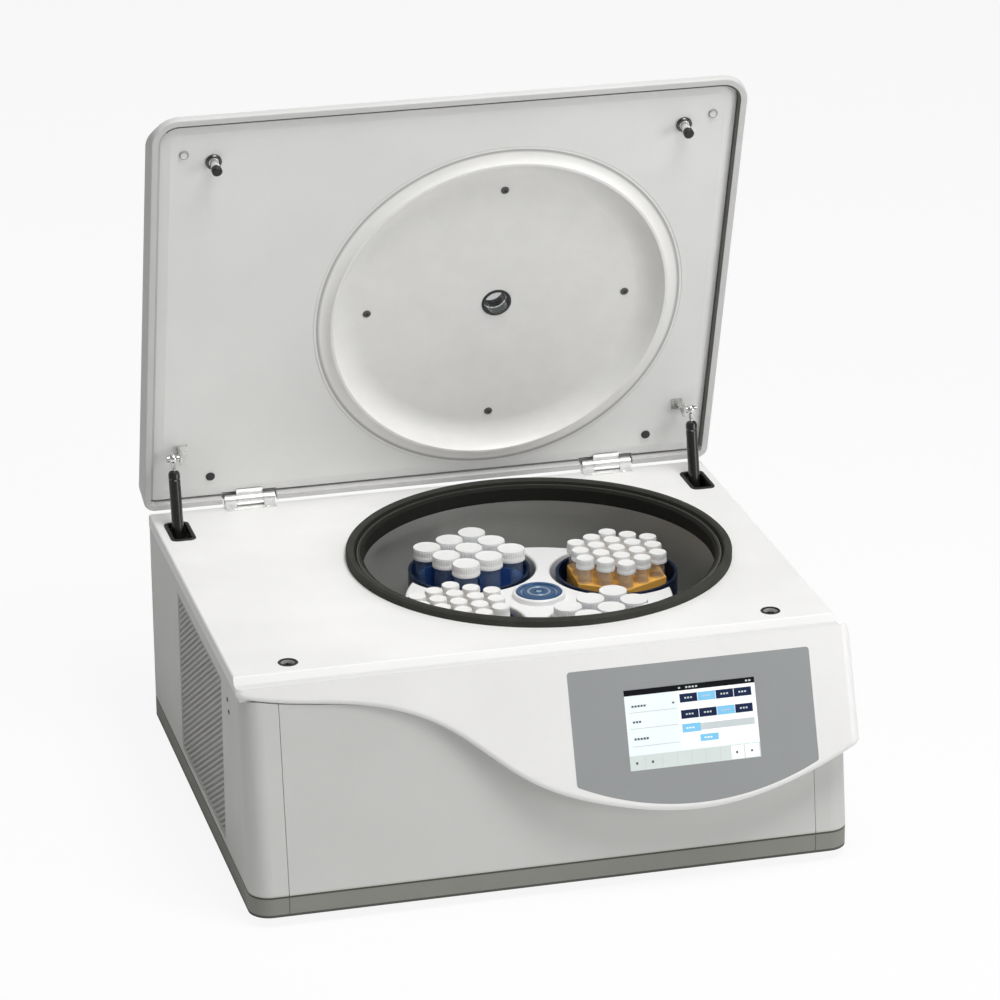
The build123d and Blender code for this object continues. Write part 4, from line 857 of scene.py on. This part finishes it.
def pierced_tile():
    """One tile of a pierced sheet, open at its edges, where its neighbours go on."""
    shape = Shape()
    edge = [(-0.5, -0.5), (0, -0.5), (0.5, -0.5), (0.5, -0.25), (0.5, 0), (0.5, 0.25)]
    edge += [(-x, -y) for x, y in edge]
    rows = []
    for level in (0, -sheet_wall):
        outer = [Vector((x * hole_across, y * hole_upward, level)) for x, y in edge]
        inner = [
            Vector((spot.x, spot.y, 0)).normalized() * hole_radius + Vector((0, 0, level)) for spot in outer
        ]
        rows += [shape.corners(outer), shape.corners(inner)]
    outer_top, inner_top, outer_low, inner_low = rows
    shape.band(outer_top, inner_top).band(inner_top, inner_low).band(inner_low, outer_low)
    return shape.settle("tile", closed=False)


def pierced_sheet(name, node, origin, axes, width, height, columns, rows):
    """A pierced sheet with its plain border, in place of a node of that size."""
    sheet = pierced.grow(
        pierced_tile(), Columns=columns, Rows=rows, Across=hole_across * mm, Upward=hole_upward * mm,
        Finish=grille_paint,
    )
    turn = Matrix(axes).transposed().to_4x4()
    sheet.transform(Matrix.Translation(origin * mm) @ turn)
    sheet.set_sharp_from_angle(angle=sharp_angle)
    piece(name, sheet, [], "casing", "grille_dark", node)
    inner = oblong(columns * hole_across - 1.0, rows * hole_upward - 3.9, 1.0, 2)
    edging = Shape().border(oblong(width, height, 1.0, 2), inner, origin, axes, -1.5, 0.1)
    piece(name + "_border", edging.settle(name + "_border"), [grille_paint], "casing", "grille_dark", node)


side_axes = (Vector((0, -1, 0)), Vector((0, 0, 1)), Vector((-1, 0, 0)))
side_middle = Vector((-half_width + sheet_set_back, front_y + 274.5, skirt_z + 132.5))
pierced_sheet("side_mesh", "side_grille", side_middle, side_axes, width=259, height=197, columns=39, rows=26)
rear_axes = (Vector((-1, 0, 0)), Vector((0, 0, 1)), Vector((0, 1, 0)))
rear_middle = Vector((-half_width + 152, rear_y - sheet_set_back, skirt_z + 140))
pierced_sheet("rear_mesh", "rear_grille", rear_middle, rear_axes, width=230, height=150, columns=35, rows=19)


# ---------------------------------------------------------------- display picture
screen_left = 83.0
screen_top = 47.0
screen_width = 152.0
screen_height = 90.0
screen_skins = [
    lit("screen_pale", (0.80, 0.87, 0.89), 0.12),
    lit("screen_black", (0.006, 0.007, 0.009), 0.02),
    lit("screen_navy", (0.013, 0.023, 0.066), 0.05),
    lit("screen_blue", (0.21, 0.54, 0.80), 0.12),
    lit("screen_white", (0.92, 0.94, 0.94), 0.14),
    lit("screen_key", (0.62, 0.68, 0.66), 0.1),
    lit("screen_mark", (0.09, 0.10, 0.12), 0.03),
    lit("screen_rule", (0.56, 0.61, 0.62), 0.08),
]
pale, black, navy, blue, white, key, mark, rule = range(8)

# each block: left, upper, right and lower edges as shares of the screen, how proud in mm, and its shade
screen_blocks = [
    (0, 0, 1, 1, 0.1, pale),
    (0, 0, 1, 0.072, 0.2, black),
    (0.405, 0.072, 1, 0.8, 0.15, white),
    (0, 0.815, 1, 1, 0.15, key),
    (0.775, 0.825, 0.872, 0.99, 0.25, white),
    (0.882, 0.825, 0.99, 0.99, 0.25, white),
    (0.50, 0.50, 0.975, 0.585, 0.2, rule),
    (0.42, 0.49, 0.56, 0.595, 0.3, blue),
    (0.55, 0.64, 0.69, 0.725, 0.3, blue),
]
button_left = 0.42
button_pitch = 0.1385
for column, (upper, lower) in enumerate(((navy, navy), (blue, navy), (navy, blue), (navy, navy))):
    left = button_left + button_pitch * column
    screen_blocks.append((left, 0.115, left + 0.134, 0.222, 0.25, upper))
    screen_blocks.append((left, 0.318, left + 0.134, 0.425, 0.25, lower))
for down in (0.28, 0.48, 0.70):
    screen_blocks.append((0.03, down, 0.39, down + 0.008, 0.2, rule))
for left in (0.115, 0.245, 0.36, 0.47, 0.58, 0.69):
    screen_blocks.append((left, 0.83, left + 0.004, 0.985, 0.22, rule))
screen_marks = [
    (0.05, 0.195, 5, 0.024), (0.36, 0.20, 1, 0.02), (0.05, 0.39, 3, 0.024), (0.05, 0.60, 5, 0.026),
    (0.045, 0.895, 1, 0.03), (0.165, 0.895, 1, 0.03), (0.81, 0.895, 1, 0.03), (0.925, 0.895, 1, 0.026),
]
for left, down, count, height in screen_marks:
    for step in range(count):
        start = left + 0.023 * step
        screen_blocks.append((start, down, start + 0.016, down + height, 0.3, mark))
for column in range(4):
    for down in (0.158, 0.361):
        for step in range(3):
            start = button_left + button_pitch * column + 0.036 + 0.022 * step
            screen_blocks.append((start, down, start + 0.014, down + 0.02, 0.3, rule))
for left, down in ((0.45, 0.535), (0.58, 0.675)):
    for step in range(3):
        start = left + 0.023 * step
        screen_blocks.append((start, down, start + 0.015, down + 0.017, 0.35, white))
for start in (0.415, 0.47, 0.495, 0.52, 0.545, 0.93, 0.955):
    screen_blocks.append((start, 0.028, start + 0.016, 0.048, 0.25, rule))
picture = Shape()
for left, upper, right_edge, lower, proud, skin in screen_blocks:
    corners = [(left, lower), (right_edge, lower), (right_edge, upper), (left, upper)]
    outline = [(screen_left + x * screen_width, -screen_top - y * screen_height) for x, y in corners]
    picture.prism(outline, face_origin, face_axes, 0.0, proud, skin)
piece("screen_picture", picture.settle("screen_picture"), screen_skins, "casing", "screen_glass")


# ---------------------------------------------------------------- lid fittings
# a dark strip that paints the shade in the groove between the lid's rim and the liner, painted lighter along
# its left run
shade_strip_foot = 14.5
shade_strip_outer = 8.05
shade_strip_inner = 10.6
corner_steps = 8


def lid_path(inset):
    """The lid's outline inside its rim, up the left side, along the front edge and down the right side."""
    path = [(inset - lid_half_width, shade_strip_foot)]
    reach = lid_corner - inset
    for side, first in ((-1, 180), (1, 90)):
        for step in range(corner_steps + 1):
            turn = radians(first - 90 * step / corner_steps)
            across = side * (lid_half_width - lid_corner) + reach * cos(turn)
            path.append((across, lid_front - lid_corner + reach * sin(turn)))
    return path + [(lid_half_width - inset, shade_strip_foot)]


shade_strip = Shape()
sections = []
for (outer_x, outer_v), (inner_x, inner_v) in zip(lid_path(shade_strip_outer), lid_path(shade_strip_inner)):
    section = [
        (outer_x, outer_v, -4.4), (outer_x, outer_v, 3.0), (inner_x, inner_v, 2.2), (inner_x, inner_v, -4.4),
    ]
    sections.append(shade_strip.corners(lid_point(*corner) for corner in section))
for first, second in zip(sections, sections[1:]):
    shade_strip.band(first, second)
shade_strip.face(sections[0])
shade_strip.face(sections[-1][::-1])
piece("lid_gasket", shade_strip.settle("lid_gasket"), [shade_strip_rubber], "lid", "seal_rubber")

pin_profile = [
    (0, 0, 1), (9.5, 0, 1), (9.5, 2.2, 1), (8.9, 3.0, 1), (6.6, 3.0, 1), (5.8, 2.4, 1), (5.2, 2.4, 0),
    (5.2, 14.6, 0), (4.2, 15.2, 0), (4.2, 16.4, 2), (6.0, 17.0, 2), (6.0, 22.6, 2), (4.6, 24.0, 2),
    (0, 24.0, 2),
]
pins = Shape()
for side in (-1, 1):
    pins.turned(pin_profile, lid_point(side * latch_x, latch_v, liner_w), towards_chamber, pin_steps)
pin_skins = [satin_steel, dark_chrome, black_plastic]
piece("latch_pins", pins.settle("latch_pins"), pin_skins, "lid", "lock_steel", "latch_bolts")

front_rest = [(0, 0, 0), (5.5, 0, 0), (5.5, 1.6, 0), (5.0, 2.1, 0), (4.1, 2.1, 0), (3.8, 1.5, 1), (0, 1.7, 1)]
back_rest = [(0, 0, 2), (5.5, 0, 2), (5.5, 1.4, 2), (4.7, 2.2, 2), (3.0, 2.5, 2), (0, 2.5, 2)]
rests = Shape()
for side in (-1, 1):
    for profile, x, v in ((front_rest, 314.0, 496.0), (back_rest, 272.0, 37.5)):
        rests.turned(profile, lid_point(side * x, v, liner_w), towards_chamber, rest_steps)
rest_skins = [rest_grey, rest_white, mark_dark]
piece("lid_rests", rests.settle("lid_rests"), rest_skins, "lid", "seal_rubber", "lid_bumpers")

# ---------------------------------------------------------------- screws
socket_head = [
    (0, -0.6, 0), (2.3, -0.6, 0), (2.4, 1.0, 0), (4.2, 1.1, 0), (4.7, 0.9, 0), (5.0, 0.5, 0),
    (5.0, -1.0, 0), (0, -1.0, 0),
]
small_head = [
    (0, 0.4, 0), (1.1, 0.4, 0), (1.2, 0.9, 0), (2.4, 0.8, 0), (2.9, 0.3, 0), (2.9, -0.6, 0), (0, -0.6, 0),
]
dish_screw_circle = 158.7
dish_spots = [
    lid_point(rotor_x + dish_screw_circle * x, dish_v + dish_screw_circle * y, dish_floor_w)
    for x, y in ((1, 0), (0, 1), (-1, 0), (0, -1))
]
dish_heads = scatter(socket_head, dish_spots, towards_chamber, screw_steel, tube_steps)
piece("dish_screw_heads", dish_heads, [], "lid", "lock_steel", "dish_screws")

hinge_x = 223.5
leaf_screw_reach = 20
leaf_screw_y = hinge_y - 11.8
leaf_top = deck_z + 1.2
leaf_spots = [
    Vector((side * hinge_x + x, leaf_screw_y, leaf_top))
    for side in (-1, 1)
    for x in (-leaf_screw_reach, leaf_screw_reach)
]
side_spots = [
    Vector((-half_width, front_y + y, skirt_z + z)) for y, z in ((109.6, 219.5), (102.9, 207.2))
]
rear_spots = [Vector((x, rear_y, skirt_z + z)) for x in (-330, 0, 330) for z in (34, 232)]
for name, spots, facing, finish in (
    ("deck_leaf_screws", leaf_spots, upright, satin_steel),
    ("side_screws", side_spots, (-1, 0, 0), screw_steel),
    ("rear_screws", rear_spots, (0, 1, 0), steel),
):
    piece(name, scatter(small_head, spots, facing, finish, screw_steps), [], "casing", "pin_steel")

# ---------------------------------------------------------------- latch holes, under the shut lid's pins
insert_profile = [
    (8.8, -6.0, 1), (8.1, -6.0, 1), (8.1, -0.4, 1), (8.4, 0.5, 0), (9.4, 0.9, 0), (10.9, 0.6, 0),
    (11.4, 0.0, 0), (8.8, 0.0, 0),
]
inserts = Shape()
for side in (-1, 1):
    hole = Vector((side * latch_x, hinge_y - latch_v, deck_z))
    inserts.turned(insert_profile, hole, upright, pin_steps, ring=True)
insert_skins = [dark_rubber, satin_steel]
piece("latch_inserts", inserts.settle("latch_inserts"), insert_skins, "casing", "seal_rubber")

# ---------------------------------------------------------------- gas struts
strut_x = 321.3
strut_top = lid_point(0, 80.8, 13.2)
strut_foot = Vector((0, rear_y - 88.0, skirt_z + 100.0))
strut_way = (strut_foot - strut_top).normalized()
ball_radius = 6
strut_profile = [(0, -ball_radius, 0)]
for degrees in range(70, -61, -10):
    strut_profile.append((ball_radius * cos(radians(degrees)), -ball_radius * sin(radians(degrees)), 0))
strut_profile += [
    (2.6, 7.0, 0), (2.6, 14.0, 0), (4.4, 14.6, 1), (6.2, 16.2, 1), (7.0, 19.0, 1), (7.0, 24.0, 1),
    (6.6, 24.6, 1), (6.6, 25.6, 1), (7.0, 26.2, 1), (7.0, 131.0, 1), (6.0, 132.0, 1), (4.05, 132.0, 1),
    (4.05, 124.0, 1), (5.4, 124.0, 1), (5.4, 20.0, 1), (0, 20.0, 1),
]
for side, hand in ((-1, "left"), (1, "right")):
    ball = strut_top + Vector((side * strut_x, 0, 0))
    strut = Shape().turned(strut_profile, ball, strut_way, pin_steps)
    name = "strut_body_" + hand
    cylinder = "strut_cylinder_" + hand
    piece(name, strut.settle(name), [chrome, strut_paint], cylinder, "strut_black", "strut_tube_" + hand)

# ---------------------------------------------------------------- camera, floor and light
camera = bpy.data.objects.new("camera", bpy.data.cameras.new("camera"))
bpy.context.scene.collection.objects.link(camera)
camera_place = Vector((-1164.386, -4247.615 + front_y, 2163.425 + skirt_z))
right = Vector((0.96741852, -0.25312206, -0.00553511))
up = Vector((0.09624436, 0.34744392, 0.93274849))
forward = Vector((0.23417608, 0.90289088, -0.36048525))
turn = Matrix((right, up, -forward)).transposed().to_4x4()
camera.matrix_world = Matrix.Translation(camera_place * mm) @ turn
camera.data.sensor_width = 36.0
camera.data.lens = 157.09
camera.data.clip_end = 100.0
bpy.context.scene.camera = camera

floor_reach = 30
floor_corners = [(floor_reach * x, floor_reach * y, 0) for x, y in ((-1, -1), (1, -1), (1, 1), (-1, 1))]
floor_mesh = bpy.data.meshes.new("floor")
floor_mesh.from_pydata(floor_corners, [], [(0, 1, 2, 3)])
floor = bpy.data.objects.new("floor", floor_mesh)
bpy.context.scene.collection.objects.link(floor)
ground = Paint("floor_pale", roughness=0.9)
ground.feed(Base_Color=(0.85, 0.85, 0.85, 1))
glow = ground.node("ShaderNodeEmission", None, {"Color": (1, 1, 1, 1), "Strength": 1.0})
seen_directly = ground.node("ShaderNodeLightPath")
lit_floor = Signal(ground, ground.shader.outputs[0])
ground_look = ground.node("ShaderNodeMixShader", None, {0: seen_directly * 0.9, 1: lit_floor, 2: glow})
ground.tree.links.new(ground_look.socket, ground.tree.nodes["Material Output"].inputs["Surface"])
floor_mesh.materials.append(ground.material)


class Sky(Wiring):
    """The studio's surroundings: soft light on the object, and white where they are seen."""

    def __init__(self, strength):
        self.world = bpy.data.worlds.new("studio")
        self.world.use_nodes = True
        self.tree = self.world.node_tree
        self.tree.nodes.remove(self.tree.nodes["Background"])
        ambient = self.node("ShaderNodeBackground", None, {"Color": (1, 1, 1, 1), "Strength": strength})
        backdrop = self.node("ShaderNodeBackground", None, {"Color": (1, 1, 1, 1), "Strength": 1.0})
        direct = self.node("ShaderNodeLightPath", output="Is Camera Ray")
        through = self.node("ShaderNodeLightPath", output="Is Transmission Ray")
        seen = direct.combine("MAXIMUM", direct, through)
        look = self.node("ShaderNodeMixShader", None, {0: seen, 1: ambient, 2: backdrop})
        self.tree.links.new(look.socket, self.tree.nodes["World Output"].inputs["Surface"])


def lamp(name, place, aim, width, height, power):
    """A rectangular lamp that looks at its aim, in metres and watts."""
    light = bpy.data.lights.new(name, "AREA")
    light.shape = "RECTANGLE"
    light.size = width
    light.size_y = height
    light.energy = power
    holder = bpy.data.objects.new(name, light)
    bpy.context.scene.collection.objects.link(holder)
    holder.location = place
    holder.rotation_euler = (Vector(aim) - Vector(place)).to_track_quat("-Z", "Y").to_euler()


bpy.context.scene.world = Sky(strength=0.285).world
casing_middle = (0, 0, 0.3)
grille_middle = (-0.3, 0.2, 0.2)
lamp("top_lamp", (0.45, -1.0, 3.2), casing_middle, width=1.5, height=1.4, power=80)
lamp("front_lamp", (2.9, -2.7, 1.0), casing_middle, width=1.8, height=1.4, power=38)
lamp("side_lamp", (-2.6, 2.4, 1.2), grille_middle, width=1.2, height=1.2, power=7)
bpy.context.scene.view_settings.view_transform = "Standard"
